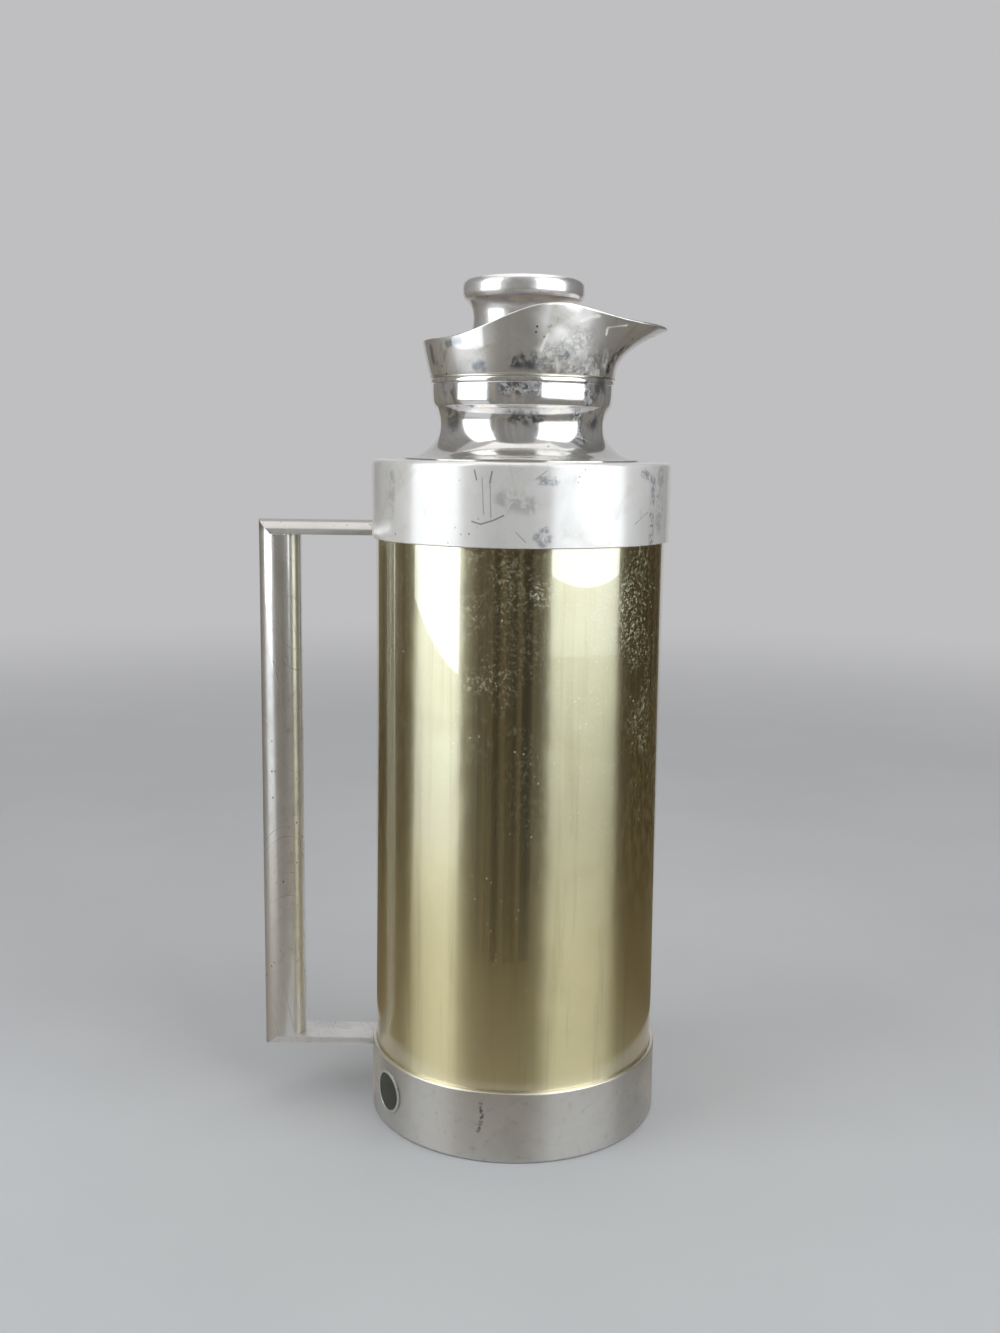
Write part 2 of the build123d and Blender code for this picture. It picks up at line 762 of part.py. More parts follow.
def badge_part(outer, inner, stand):
    """A round piece seen from the front, with both faces curved to the band."""
    with BuildSketch(badge_plane) as front:
        Circle(outer)
        if inner:
            Circle(inner, mode=Mode.SUBTRACT)
    extrude(front.sketch, amount=2 * body_radius)
    with BuildSketch(Plane.XY.offset(badge_height - 2 * badge_radius)) as skin:
        Circle(body_radius + stand)
        Circle(body_radius + solder_gap, mode=Mode.SUBTRACT)
    extrude(skin.sketch, amount=4 * badge_radius, mode=Mode.INTERSECT)


with BuildPart() as badge_bezel:
    badge_part(badge_radius, badge_radius - bezel_width, bezel_stand)

with BuildPart() as badge_disc:
    badge_part(badge_radius - bezel_width - solder_gap, 0, badge_disc_stand)

pieces = {
    "lower_band": lower_band,
    "upper_band": upper_band,
    "brass_sleeve": brass_sleeve,
    "neck_bell": neck_bell,
    "seam_ring": seam_ring,
    "spout_collar": spout_collar,
    "outer_flask": outer_flask,
    "inner_flask": inner_flask,
    "spacer_pads": spacer_pads,
    "neck_gasket": neck_gasket,
    "mouth_ring": mouth_ring,
    "stopper_knob": stopper_knob,
    "knob_boss": knob_boss,
    "stopper_plug": stopper_plug,
    "plug_seal_rings": plug_seal_rings,
    "stopper_gasket": stopper_gasket,
    "stopper_washer": stopper_washer,
    "stopper_screw": stopper_screw,
    "base_ring": base_ring,
    "base_cap": base_cap,
    "base_cap_gasket": base_cap_gasket,
    "flask_cushion": flask_cushion,
    "handle_grip": handle_grip,
    "handle_upper_arm": handle_upper_arm,
    "handle_lower_arm": handle_lower_arm,
    "handle_washers": handle_washers,
    "handle_screws": handle_screws,
    "badge_bezel": badge_bezel,
    "badge_disc": badge_disc,
}

os.makedirs("parts", exist_ok=True)
for name, piece in pieces.items():
    piece.part.label = name
    export_step(piece.part, f"parts/{name}.step")
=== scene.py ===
"""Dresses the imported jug: turned bands, spun neck and knob, raised pouring collar and worn metal finishes."""

import math

import bmesh
import bpy
import numpy as np
from mathutils import Matrix, Vector


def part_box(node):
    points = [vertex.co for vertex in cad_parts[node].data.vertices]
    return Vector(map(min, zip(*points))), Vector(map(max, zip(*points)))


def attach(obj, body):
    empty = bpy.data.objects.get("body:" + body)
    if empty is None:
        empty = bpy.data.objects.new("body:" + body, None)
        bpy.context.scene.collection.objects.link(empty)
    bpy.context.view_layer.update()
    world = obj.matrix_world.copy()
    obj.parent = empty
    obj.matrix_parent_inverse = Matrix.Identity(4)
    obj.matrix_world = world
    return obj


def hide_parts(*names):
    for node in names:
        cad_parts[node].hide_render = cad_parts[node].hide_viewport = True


bl_info = {
    "name": "Insulated Jug",
    "version": (1, 0, 0),
    "blender": (4, 5, 0),
    "location": "View3D > Sidebar > Jug",
    "description": "Remakes the jug's visible metal in fine meshes and gives every piece a worn finish",
    "category": "Add Mesh",
}

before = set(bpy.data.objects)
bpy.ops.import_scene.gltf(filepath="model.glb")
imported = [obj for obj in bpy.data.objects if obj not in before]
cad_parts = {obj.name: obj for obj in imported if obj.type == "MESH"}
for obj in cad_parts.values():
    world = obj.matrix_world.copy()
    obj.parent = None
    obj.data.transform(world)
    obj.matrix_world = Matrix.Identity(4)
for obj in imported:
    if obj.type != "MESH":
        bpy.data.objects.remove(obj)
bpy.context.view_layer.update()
LOW = {name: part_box(name)[0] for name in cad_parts}
HIGH = {name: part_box(name)[1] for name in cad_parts}
SHELF_THICKNESS = 0.0012
CLEARANCE = 0.00005


def length(name, description, default):
    """A size that the user may change, in metres."""
    return bpy.props.FloatProperty(
        name=name, description=description, default=default, min=0.0, precision=4, unit="LENGTH"
    )


def colour(name, description, default):
    """A colour that the user may change, linear."""
    return bpy.props.FloatVectorProperty(
        name=name, description=description, default=default, size=3, min=0.0, max=1.0, subtype="COLOR"
    )


def angle(name, description, default):
    """An angle that the user may change, in radians."""
    return bpy.props.FloatProperty(
        name=name, description=description, default=default, subtype="ANGLE", unit="ROTATION"
    )


# Sizes


class JugBodySizes(bpy.types.PropertyGroup):
    """Bands, sleeve and shelf of the body."""

    radius: length("Band radius", "Outside radius of both bands", HIGH["lower_band"].x)
    wall: length("Band wall", "Thickness of the bands", 0.0016)
    lower_top: length("Lower band top", "Height of the lower band's top edge", HIGH["lower_band"].z)
    upper_bottom: length("Upper band bottom", "Height of the upper band's bottom edge", LOW["upper_band"].z)
    shelf: length("Shelf", "Height of the flat shelf over the body", HIGH["upper_band"].z)
    shelf_hole: length("Shelf hole", "Radius of the hole in the shelf", 0.040)
    shelf_round: length("Shelf edge", "Radius of the rounded edge of the shelf", 0.0016)
    foot_round: length("Foot edge", "Radius of the rounded edge at the foot", 0.0010)
    foot_rim: length("Foot rim", "Width of the turned-in rim that the jug stands on", 0.0034)
    foot_thickness: length("Foot rim thickness", "Thickness of the turned-in rim", 0.0015)
    sleeve_radius: length("Sleeve radius", "Outside radius of the brass sleeve", HIGH["brass_sleeve"].x)
    sleeve_wall: length("Sleeve wall", "Thickness of the brass sleeve", 0.0008)


class JugNeckSizes(bpy.types.PropertyGroup):
    """Bell-shaped neck and the thin ring over it."""

    foot_radius: length("Bell foot", "Radius of the bell where it meets the shelf", HIGH["neck_bell"].x)
    foot_edge: length("Foot edge", "Height of the bell's straight edge", 0.0005)
    throat_radius: length("Throat", "Radius of the neck at its narrowest", 0.0320)
    throat_rise: length("Throat rise", "Height of the narrowest part above the shelf", 0.0133)
    crease_radius: length("Crease", "Radius where the neck turns into its straight band", 0.0343)
    crease_rise: length("Crease rise", "Height of that crease above the shelf", 0.0203)
    band_radius: length("Neck band", "Radius at the top of the straight band", 0.0351)
    band_rise: length("Neck band rise", "Height of the top of the band above the shelf", 0.0283)
    bead: length("Bead", "How far the rolled bead stands out", 0.0006)
    wall: length("Neck wall", "Thickness of the spun sheet", 0.0009)


class JugCollarSizes(bpy.types.PropertyGroup):
    """Pouring collar with its raised rim and lip."""

    bottom: length("Collar bottom", "Height of the collar's lower edge", LOW["spout_collar"].z)
    radius: length("Collar radius", "Radius at the collar's lower edge", 0.0356)
    wall: length("Collar wall", "Thickness of the collar", 0.0012)
    bore: length("Flange bore", "Radius of the hole in the collar's flange", 0.031)
    flare: length("Flare", "How far the collar's back widens over its full height", 0.0053)
    height: length("Full height", "Height over which the collar widens", 0.026)
    lip: length("Lip", "How far the pouring lip reaches out", 0.0198)
    lip_rise: length("Lip rise", "Height of the lip's tip above the lower edge", 0.0183)
    back_rise: length("Back rise", "Height of the low back of the rim", 0.0133)
    middle_rise: length("Middle rise", "Height of the rim half way to its shoulders", 0.01935)
    shoulder_rise: length("Shoulder rise", "Height of the rim's shoulders", 0.0250)
    shoulder_x: length("Shoulder place", "How far in front of the axis the shoulders are", 0.0135)
    front_rise: length("Front rise", "Height of the rim where it runs out into the lip", 0.0210)


class JugKnobSizes(bpy.types.PropertyGroup):
    """Hollow knob of the stopper."""

    top: length("Knob top", "Height of the flat top", HIGH["stopper_knob"].z)
    hem: length("Hem height", "Height of the flared lower edge", LOW["stopper_knob"].z)
    hem_radius: length("Hem radius", "Radius of the flared lower edge", 0.0232)
    rim_radius: length("Rim radius", "Radius of the rounded rim", HIGH["stopper_knob"].x)
    rim_height: length("Rim height", "Height of the rim under the top", 0.0080)
    rim_round: length("Rim round", "Radius of the rounded top edge", 0.0034)
    waist_radius: length("Waist radius", "Radius of the waist", 0.0193)
    waist_drop: length("Waist drop", "Depth of the waist under the top", 0.0156)
    wall: length("Knob wall", "Thickness of the spun sheet", 0.0010)


class JugHandleSizes(bpy.types.PropertyGroup):
    """Round grip and the two half-round arms."""

    radius: length("Bar radius", "Radius of the round bar", 0.0083)
    distance: length("Grip distance", "Distance from the jug's axis to the grip's", 0.0944)
    depth: length("Arm depth", "Thickness of the sliced bar of the arms", 0.0056)
    upper_flat: length("Upper flat", "Height of the upper arm's flat face", 0.2332)
    lower_flat: length("Lower flat", "Height of the lower arm's flat face", 0.0271)
    edge: length("Edge", "Softening of the bars' edges", 0.0003)


class JugBadgeSizes(bpy.types.PropertyGroup):
    """Round badge on the lower band."""

    radius: length("Badge radius", "Outside radius of the bezel", 0.0086)
    bezel: length("Bezel width", "Width of the bezel", 0.0013)
    bezel_stand: length("Bezel stand", "How far the bezel stands off the band", 0.0007)
    disc_stand: length("Disc stand", "How far the disc stands off the band", 0.00035)
    height: length("Badge height", "Height of the badge's middle", 0.0153)
    angle: angle("Badge angle", "Direction of the badge round the jug", math.radians(212.4))


class JugColours(bpy.types.PropertyGroup):
    """Colours of the metals and of the parts inside."""

    silver: colour("Silver plate", "Colour of the silver plate", (0.82, 0.80, 0.79))
    tarnish: colour("Tarnish", "Colour of the tarnish on the silver", (0.36, 0.32, 0.26))
    satin: colour("Satin plate", "Colour of the worn lower band", (0.63, 0.61, 0.58))
    brass: colour("Brass", "Colour of the sleeve", (0.74, 0.71, 0.50))
    brass_low: colour("Lower brass", "Colour of the sleeve near the foot", (0.86, 0.77, 0.46))
    brass_dark: colour("Dark brass", "Colour of the sleeve's stains", (0.44, 0.38, 0.20))
    brass_pale: colour("Worn brass", "Colour of the specks in the sleeve's lacquer", (0.92, 0.89, 0.72))
    turned_brass: colour("Turned brass", "Colour of the brass inside", (0.72, 0.58, 0.32))
    glass: colour("Silvered glass", "Colour of the flask", (0.82, 0.84, 0.85))
    ceramic: colour("Ceramic", "Colour of the spacer pads", (0.78, 0.76, 0.70))
    rubber: colour("Rubber", "Colour of the gaskets", (0.05, 0.05, 0.05))
    plastic: colour("Plastic", "Colour of the moulded parts", (0.12, 0.055, 0.04))
    steel: colour("Steel", "Colour of the screws", (0.62, 0.62, 0.60))
    enamel: colour("Enamel", "Colour of the badge", (0.024, 0.026, 0.016))
    floor: colour("Floor", "Colour of the floor and the background", (0.52, 0.52, 0.53))


class JugStageSizes(bpy.types.PropertyGroup):
    """Camera and lights."""

    lens: bpy.props.FloatProperty(
        name="Lens", description="Focal length on a 36 mm long side", default=37.77, min=1.0, unit="CAMERA"
    )
    camera_distance: length("Camera distance", "Distance of the camera in front of the jug", 0.54996)
    camera_height: length("Camera height", "Height of the camera", 0.27094)
    pitch: angle("Pitch", "How far the camera looks down", 0.1617)
    yaw: angle("Yaw", "How far the camera turns to the right", -0.0133)
    roll: angle("Roll", "How far the camera leans", 0.0126)
    box_distance: length("Softbox distance", "Distance of the softboxes from the jug", 0.85)
    box_radiance: bpy.props.FloatProperty(
        name="Softbox brightness", description="Radiance of the softboxes", default=2.2, min=0.0
    )
    room: bpy.props.FloatProperty(
        name="Room light", description="Brightness of the room's even light", default=0.40, min=0.0
    )


# Lines that the pieces are turned, spun and raised from


def smooth_line(points, start, end, steps):
    """Points on the smoothest curve through some points, with its direction given at both ends."""
    spots = np.array(points, float)
    gaps = np.linalg.norm(np.diff(spots, axis=0), axis=1)
    count = len(spots)
    rows = np.zeros((count, count))
    sides = np.zeros((count, 2))
    rows[0, 0] = rows[-1, -1] = 1
    sides[0] = np.array(start, float) / np.linalg.norm(start)
    sides[-1] = np.array(end, float) / np.linalg.norm(end)
    for i in range(1, count - 1):
        before, after = gaps[i - 1], gaps[i]
        rows[i, i - 1 : i + 2] = 1 / before, 2 / before + 2 / after, 1 / after
        sides[i] = 3 * (spots[i] - spots[i - 1]) / before**2 + 3 * (spots[i + 1] - spots[i]) / after**2
    slopes = np.linalg.solve(rows, sides)
    line = [tuple(spots[0])]
    for i, gap in enumerate(gaps):
        for step in range(1, steps + 1):
            t = step / steps
            spot = (2 * t**3 - 3 * t**2 + 1) * spots[i] + (t**3 - 2 * t**2 + t) * gap * slopes[i]
            spot = spot + (3 * t**2 - 2 * t**3) * spots[i + 1] + (t**3 - t**2) * gap * slopes[i + 1]
            line.append(tuple(spot))
    return line


def oval_arc(centre, width, height, first, last, steps):
    """Points on part of an ellipse, from one angle to another in degrees."""
    angles = [math.radians(first + (last - first) * step / steps) for step in range(steps + 1)]
    return [(centre[0] + width * math.cos(a), centre[1] + height * math.sin(a)) for a in angles]


# Making and finishing a piece


def round_off(mesh, parts, affect, radius, segments):
    """Round some corners or edges."""
    bmesh.ops.bevel(
        mesh,
        geom=parts,
        offset=radius,
        offset_type="OFFSET",
        segments=segments,
        profile=0.5,
        affect=affect,
        clamp_overlap=True,
        material=-1,
    )


def turned(section, rounded=None, steps=360, closed=True):
    """A mesh turned from (radius, height) points; rounded has the radius and segments of some corners."""
    mesh = bmesh.new()
    corners = [mesh.verts.new((x, 0, z)) for x, z in section]
    for pair in zip(corners, corners[1:]):
        mesh.edges.new(pair)
    if closed:
        mesh.edges.new((corners[-1], corners[0]))
    for index, (radius, segments) in (rounded or {}).items():
        round_off(mesh, [corners[index]], "VERTICES", radius, segments)
    bmesh.ops.spin(
        mesh,
        geom=mesh.verts[:] + mesh.edges[:],
        cent=(0, 0, 0),
        axis=(0, 0, 1),
        dvec=(0, 0, 0),
        angle=2 * math.pi,
        steps=steps,
        use_merge=True,
        use_normal_flip=False,
        use_duplicate=False,
    )
    tidy(mesh)
    return mesh


def tidy(mesh):
    """Merge doubled points and turn every face outwards."""
    bmesh.ops.remove_doubles(mesh, verts=mesh.verts[:], dist=1e-7)
    bmesh.ops.recalc_face_normals(mesh, faces=mesh.faces[:])


def soften(mesh, sharpest, radius, segments):
    """Round the edges of a mesh that turn by more than an angle in degrees."""
    edges = [e for e in mesh.edges if len(e.link_faces) == 2 and e.calc_face_angle() > math.radians(sharpest)]
    round_off(mesh, edges, "EDGES", radius, segments)
    bmesh.ops.recalc_face_normals(mesh, faces=mesh.faces[:])


def keep(mesh, name, body, finish, nodes, smooth=30):
    """Make the finished object of a mesh, ride it on its body and let it stand for its solids."""
    if not mesh.faces:
        raise RuntimeError(f"{name} came out without faces")
    data = bpy.data.meshes.new(name)
    mesh.to_mesh(data)
    mesh.free()
    data.shade_smooth()
    data.set_sharp_from_angle(angle=math.radians(smooth))
    data.materials.append(finish)
    piece = bpy.data.objects.new(name, data)
    bpy.context.scene.collection.objects.link(piece)
    level = piece.modifiers.new("level_normals", "WEIGHTED_NORMAL")
    level.keep_sharp = True
    level.weight = 100
    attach(piece, body)
    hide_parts(*nodes)
    return piece


def dress(names, finish):
    """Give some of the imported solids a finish."""
    for name in names:
        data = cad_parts[name].data
        data.materials.clear()
        data.materials.append(finish)


# Node trees, with the size of specks and the inner share of a stroke or spot that is full

SPECK_SCALE = 330
SPECK_SIZE = 0.17
FULL_SHARE = 0.3


class Nodes:
    """A node tree, with short names for the nodes that the finishes and the room are made of."""

    def __init__(self, tree):
        self.tree = tree

    def add(self, kind, **settings):
        """Add a node with some of its settings."""
        node = self.tree.nodes.new(kind)
        for key, value in settings.items():
            setattr(node, key, value)
        return node

    def feed(self, socket, value):
        """Link a socket to an output, or set it."""
        if isinstance(value, bpy.types.NodeSocket):
            self.tree.links.new(value, socket)
        else:
            socket.default_value = value

    def sum(self, operation, *values):
        """Arithmetic with numbers, one after the other; a tuple stands for the product of its numbers."""
        terms = [self.times(*value) if isinstance(value, tuple) else value for value in values]
        result = terms[0]
        for term in terms[1:]:
            node = self.add("ShaderNodeMath", operation=operation)
            self.feed(node.inputs[0], result)
            self.feed(node.inputs[1], term)
            result = node.outputs["Value"]
        return result

    def times(self, *values):
        """Product of several values."""
        return self.sum("MULTIPLY", *values)

    def plus(self, *values):
        """Sum of several values."""
        return self.sum("ADD", *values)

    def most(self, *values):
        """Largest of several values."""
        return self.sum("MAXIMUM", *values)

    def between(self, value, low, high, bottom=0.0, top=1.0, ease="SMOOTHSTEP"):
        """Ease a value from bottom to top as it goes from low to high."""
        node = self.add("ShaderNodeMapRange", interpolation_type=ease)
        sockets = ("Value", "From Min", "From Max", "To Min", "To Max")
        for key, number in zip(sockets, (value, low, high, bottom, top)):
            self.feed(node.inputs[key], number)
        return node.outputs["Result"]

    def blend(self, share, first, second, mode="MIX"):
        """Mix two colours."""
        node = self.add("ShaderNodeMix", data_type="RGBA", blend_type=mode)
        self.feed(node.inputs[0], share)
        for socket, tint in ((node.inputs[6], first), (node.inputs[7], second)):
            self.feed(socket, tint if isinstance(tint, bpy.types.NodeSocket) else (*tint, 1.0))
        return node.outputs[2]

    def layers(self, skin, *tints):
        """Tints laid over a colour, each with the numbers whose product is its share."""
        for tint, *share in tints:
            skin = self.blend(self.times(*share), skin, tint)
        return skin

    def show(self, output, share, first, second):
        """Show one shader, and the other as its share grows."""
        node = self.add("ShaderNodeMixShader")
        for socket, value in zip(node.inputs, (share, first, second)):
            self.feed(socket, value)
        self.feed(self.tree.nodes[output].inputs["Surface"], node.outputs["Shader"])


class Finish(Nodes):
    """A finish made of nodes that read Object coordinates, in metres."""

    def __init__(self, name, metallic, roughness):
        self.material = bpy.data.materials.new(name)
        self.material.use_nodes = True
        super().__init__(self.material.node_tree)
        self.shader = self.tree.nodes["Principled BSDF"]
        self.shader.inputs["Metallic"].default_value = metallic
        self.shader.inputs["Roughness"].default_value = roughness
        self.place = self.add("ShaderNodeTexCoord").outputs["Object"]

    def placed(self, scale, turn):
        """Object coordinates turned, then stretched, for a pattern that runs one way."""
        node = self.add("ShaderNodeMapping", vector_type="TEXTURE")
        self.feed(node.inputs["Vector"], self.place)
        node.inputs["Rotation"].default_value = [math.radians(a) for a in turn]
        node.inputs["Scale"].default_value = [1 / s for s in scale]
        return node.outputs["Vector"]

    def cloud(self, scale, detail=3.0, rough=0.55, warp=0.0, turn=(0, 0, 0)):
        """Cloudy pattern from 0 to 1, of one scale or of a scale for each axis, turned by some degrees."""
        where = self.place
        if isinstance(scale, tuple):
            where = self.placed(scale, turn)
            scale = 1.0
        elif any(turn):
            where = self.placed((1, 1, 1), turn)
        node = self.add("ShaderNodeTexNoise")
        sockets = ("Vector", "Scale", "Detail", "Roughness", "Distortion")
        for key, value in zip(sockets, (where, scale, detail, rough, warp)):
            self.feed(node.inputs[key], value)
        return node.outputs["Fac"]

    def patches(self, low, high, *cloud):
        """Cloud that is clear below one value and full above another."""
        return self.between(self.cloud(*cloud), low, high)

    def specks(self, patches):
        """Scattered round dots, 1 inside, where patches of a cloud leave them."""
        node = self.add("ShaderNodeTexVoronoi")
        self.feed(node.inputs["Vector"], self.place)
        node.inputs["Scale"].default_value = SPECK_SCALE
        dots = self.between(node.outputs["Distance"], SPECK_SIZE, SPECK_SIZE * 0.6)
        return self.times(dots, patches)

    def hairlines(self, turn, fine, long, low, high):
        """Thin scratches that run square to the turned Z axis, broken up by a cloud."""
        lines = self.cloud((long, long, fine), 2.0, 0.5, 0.0, turn)
        mask = self.patches(0.50, 0.62, 14.0, 1.0, 0.5, 0.4, turn)
        return self.times(self.between(lines, low, high), mask)

    def offset(self, operation, first, second):
        """One step of arithmetic with points."""
        node = self.add("ShaderNodeVectorMath", operation=operation)
        self.feed(node.inputs[0], first)
        self.feed(node.inputs["Scale" if operation == "SCALE" else 1], second)
        return node.outputs["Value" if operation in ("DOT_PRODUCT", "DISTANCE") else "Vector"]

    def height(self):
        """Height over the floor."""
        return self.offset("DOT_PRODUCT", self.place, (0, 0, 1))

    def stroke(self, points, width):
        """1 along a line of points in tenths of a millimetre, fading to 0 at a distance in metres from it."""
        spots = [Vector([number / 10000 for number in point]) for point in points]
        away = []
        for first, last in zip(spots, spots[1:]):
            run = last - first
            start = self.offset("SUBTRACT", self.place, first)
            share = self.offset("DOT_PRODUCT", start, run / run.length_squared)
            share = self.between(share, 0.0, 1.0, 0.0, 1.0, "LINEAR")
            away.append(self.offset("DISTANCE", start, self.offset("SCALE", run, share)))
        return self.between(self.sum("MINIMUM", *away), width, width * FULL_SHARE)

    def strokes(self, lines, width):
        """Several lines together."""
        return self.most(*[self.stroke(line, width) for line in lines])

    def near(self, centre, radius):
        """1 near a spot on the piece, fading to 0."""
        return self.between(self.offset("DISTANCE", self.place, centre), radius, radius * FULL_SHARE)

    def relief(self, *layers):
        """Bumps over each other, each with its height from 0 to 1 and its depth in metres."""
        normal = None
        for height, depth in layers:
            node = self.add("ShaderNodeBump")
            node.inputs["Strength"].default_value = 1.0
            node.inputs["Distance"].default_value = depth
            self.feed(node.inputs["Height"], height)
            if normal is not None:
                self.feed(node.inputs["Normal"], normal)
            normal = node.outputs["Normal"]
        return normal

    def coat(self, weight, roughness, bending):
        """A clear layer over the finish, with its index of refraction."""
        self.shader.inputs["Coat Weight"].default_value = weight
        self.shader.inputs["Coat Roughness"].default_value = roughness
        self.shader.inputs["Coat IOR"].default_value = bending

    def upright_sheen(self, amount):
        """Stretch the highlights upright, as fine turning lines round the piece do."""
        self.shader.inputs["Anisotropic"].default_value = amount
        self.shader.inputs["Anisotropic Rotation"].default_value = 0.25
        tangent = self.add("ShaderNodeTangent", direction_type="RADIAL", axis="Z")
        self.feed(self.shader.inputs["Tangent"], tangent.outputs["Tangent"])

    def use(self, colour, roughness, normal, metallic=None):
        """Feed the shader's sockets and give the material."""
        self.feed(self.shader.inputs["Base Color"], colour)
        self.feed(self.shader.inputs["Roughness"], roughness)
        self.feed(self.shader.inputs["Normal"], normal)
        if metallic is not None:
            self.feed(self.shader.inputs["Metallic"], metallic)
        return self.material


# Finishes, with tints of wear and painted highlights that no setting changes, depths in metres and indices of
# refraction

SCRATCH = (0.24, 0.23, 0.22)
PIT = (0.10, 0.09, 0.08)
WARM_CLOUD = (0.56, 0.52, 0.49)
SATIN_CLOUD = (0.47, 0.44, 0.40)
SATIN_STAIN = (0.09, 0.085, 0.08)
# Painted highlight along the lower band's top edge
SATIN_EDGE_HIGHLIGHT = (0.90, 0.86, 0.76)
OLIVE = (0.62, 0.58, 0.33)
TURNING_GLEAM = (0.95, 0.92, 0.66)
LACQUER_PIN = (0.92, 0.88, 0.70)
GLASS_CLOUD = (0.70, 0.72, 0.70)
RING_BRASS = (0.94, 0.89, 0.76)
FINE_GRAIN = 0.00002
SCRATCH_DEPTH = 0.00002
PLATE_BENDING = 2.4
LACQUER_BENDING = 2.3
GLASS_BENDING = 1.5


def silver_plate(name, colours, haze, polish, stains, gloss, wavy, marks=(), dull=0.0, blur=0.04, shade=None):
    """Silver plate under fine wear: clouds of tarnish, hairline scratches, pits and an uneven skin.

    haze is how milky the plate is and polish its roughness. gloss is the sharp share of its reflections and
    blur their roughness. wavy is the depth of its unevenness in metres. marks are the piece's scratches and
    stains, with some painted highlights and painted shade on the neck and collar. dull is how much rougher it
    is near the foot. shade lays a colour that grows from one height to another, as (start, end, colour, share):
    painted shade on the neck's flare and on top of the upper arm, and an even darker tint over the bezel.
    """
    finish = Finish(name, 1.0 - haze, polish)
    clouds = finish.patches(0.36, 0.70, 30, 5, 0.62, 0.6)
    smears = finish.patches(0.48, 0.70, (60, 60, 26), 4, 0.6, 1.2, (20, 35, 0))
    grime = finish.between(finish.patches(0.48, 0.74, 230, 4, 0.7), 0.0, 1.0, 0.35, 1.0)
    fine = finish.most(
        finish.hairlines((0, 78, 20), 2600, 22, 0.64, 0.72),
        finish.hairlines((25, 50, 0), 2300, 26, 0.66, 0.74),
        finish.hairlines((-50, 20, 35), 2100, 18, 0.66, 0.74),
    )
    pits = finish.specks(finish.patches(0.54, 0.64, 75, 2))
    height = finish.height()
    tints = [(WARM_CLOUD, clouds, 0.5 * stains), (colours.tarnish, smears, grime, 0.7 * stains)]
    # A colour that grows from one height to another: painted shade on the neck and handle, an even darker tint
    # on the bezel
    if shade:
        start, end, tint, share = shade
        tints.append((tint, finish.between(height, start, end, 0.0, share)))
    tints += [(SCRATCH, fine, 0.55), (PIT, pits, stains)]
    rough = finish.plus((clouds, 0.10), polish, (smears, 0.08))
    if dull:
        rough = finish.plus(rough, finish.between(height, 0.20, 0.06, 0.0, dull))
    rough = finish.plus(rough, (finish.most(fine, pits), 0.2))
    metal = finish.sum("SUBTRACT", 1.0 - haze, (clouds, 0.4 * haze))
    # Marks: scratches and stains, with some painted highlights and painted shade on the neck and collar
    for width, tint, share, grain, *lines in marks:
        spot = finish.times(finish.strokes(lines, width), share)
        if grain:
            spot = finish.times(spot, finish.patches(0.40, 0.58, grain, 4, 0.68, 0.6))
        tints.append((tint, spot))
        if tint[0] > 0.5:
            metal = finish.times(metal, finish.between(spot, 0.0, 1.0, 1.0, 0.25))
    skin = finish.layers(colours.silver, *tints)
    uneven = (finish.cloud(34, 2, 0.5, 0.3), wavy * 12)
    relief = finish.relief(uneven, (finish.cloud(1300, 3, 0.6), wavy * 0.10), (fine, SCRATCH_DEPTH))
    finish.coat(gloss, blur, PLATE_BENDING)
    return finish.use(skin, rough, relief, metal)


def satin_plate(name, colours):
    """Worn silver plate with a soft upright glow, a painted highlight along its top edge and small dark stains.
    """
    finish = Finish(name, 0.9, 0.36)
    clouds = finish.patches(0.35, 0.72, 34, 5, 0.6, 0.8)
    grain = finish.cloud((30, 30, 2600), 3, 0.6)
    grime = finish.patches(0.54, 0.78, 260, 4, 0.7)
    scratches = finish.most(
        finish.hairlines((0, 70, 15), 2300, 24, 0.66, 0.75),
        finish.hairlines((-40, 30, 30), 2600, 20, 0.67, 0.75),
    )
    stain = finish.stroke(((-118, -568, 238), (-112, -569, 180), (-127, -566, 125)), 0.0011)
    stain = finish.times(stain, finish.patches(0.40, 0.58, 900, 3), 0.8)
    skin = finish.layers(
        colours.satin,
        (SATIN_CLOUD, clouds, 0.5),
        (colours.tarnish, grime, 0.5),
        (SATIN_STAIN, finish.most((scratches, 0.4), stain)),
        # Painted highlight: pale along the band's top edge
        (SATIN_EDGE_HIGHLIGHT, finish.between(finish.height(), 0.0272, 0.0279), 0.8),
    )
    rough = finish.plus((clouds, 0.10), 0.32, (grain, 0.06))
    uneven = (finish.cloud(40, 2, 0.5), 0.0004)
    relief = finish.relief(uneven, (grain, 0.000006), (scratches, SCRATCH_DEPTH))
    finish.upright_sheen(0.8)
    return finish.use(skin, rough, relief)


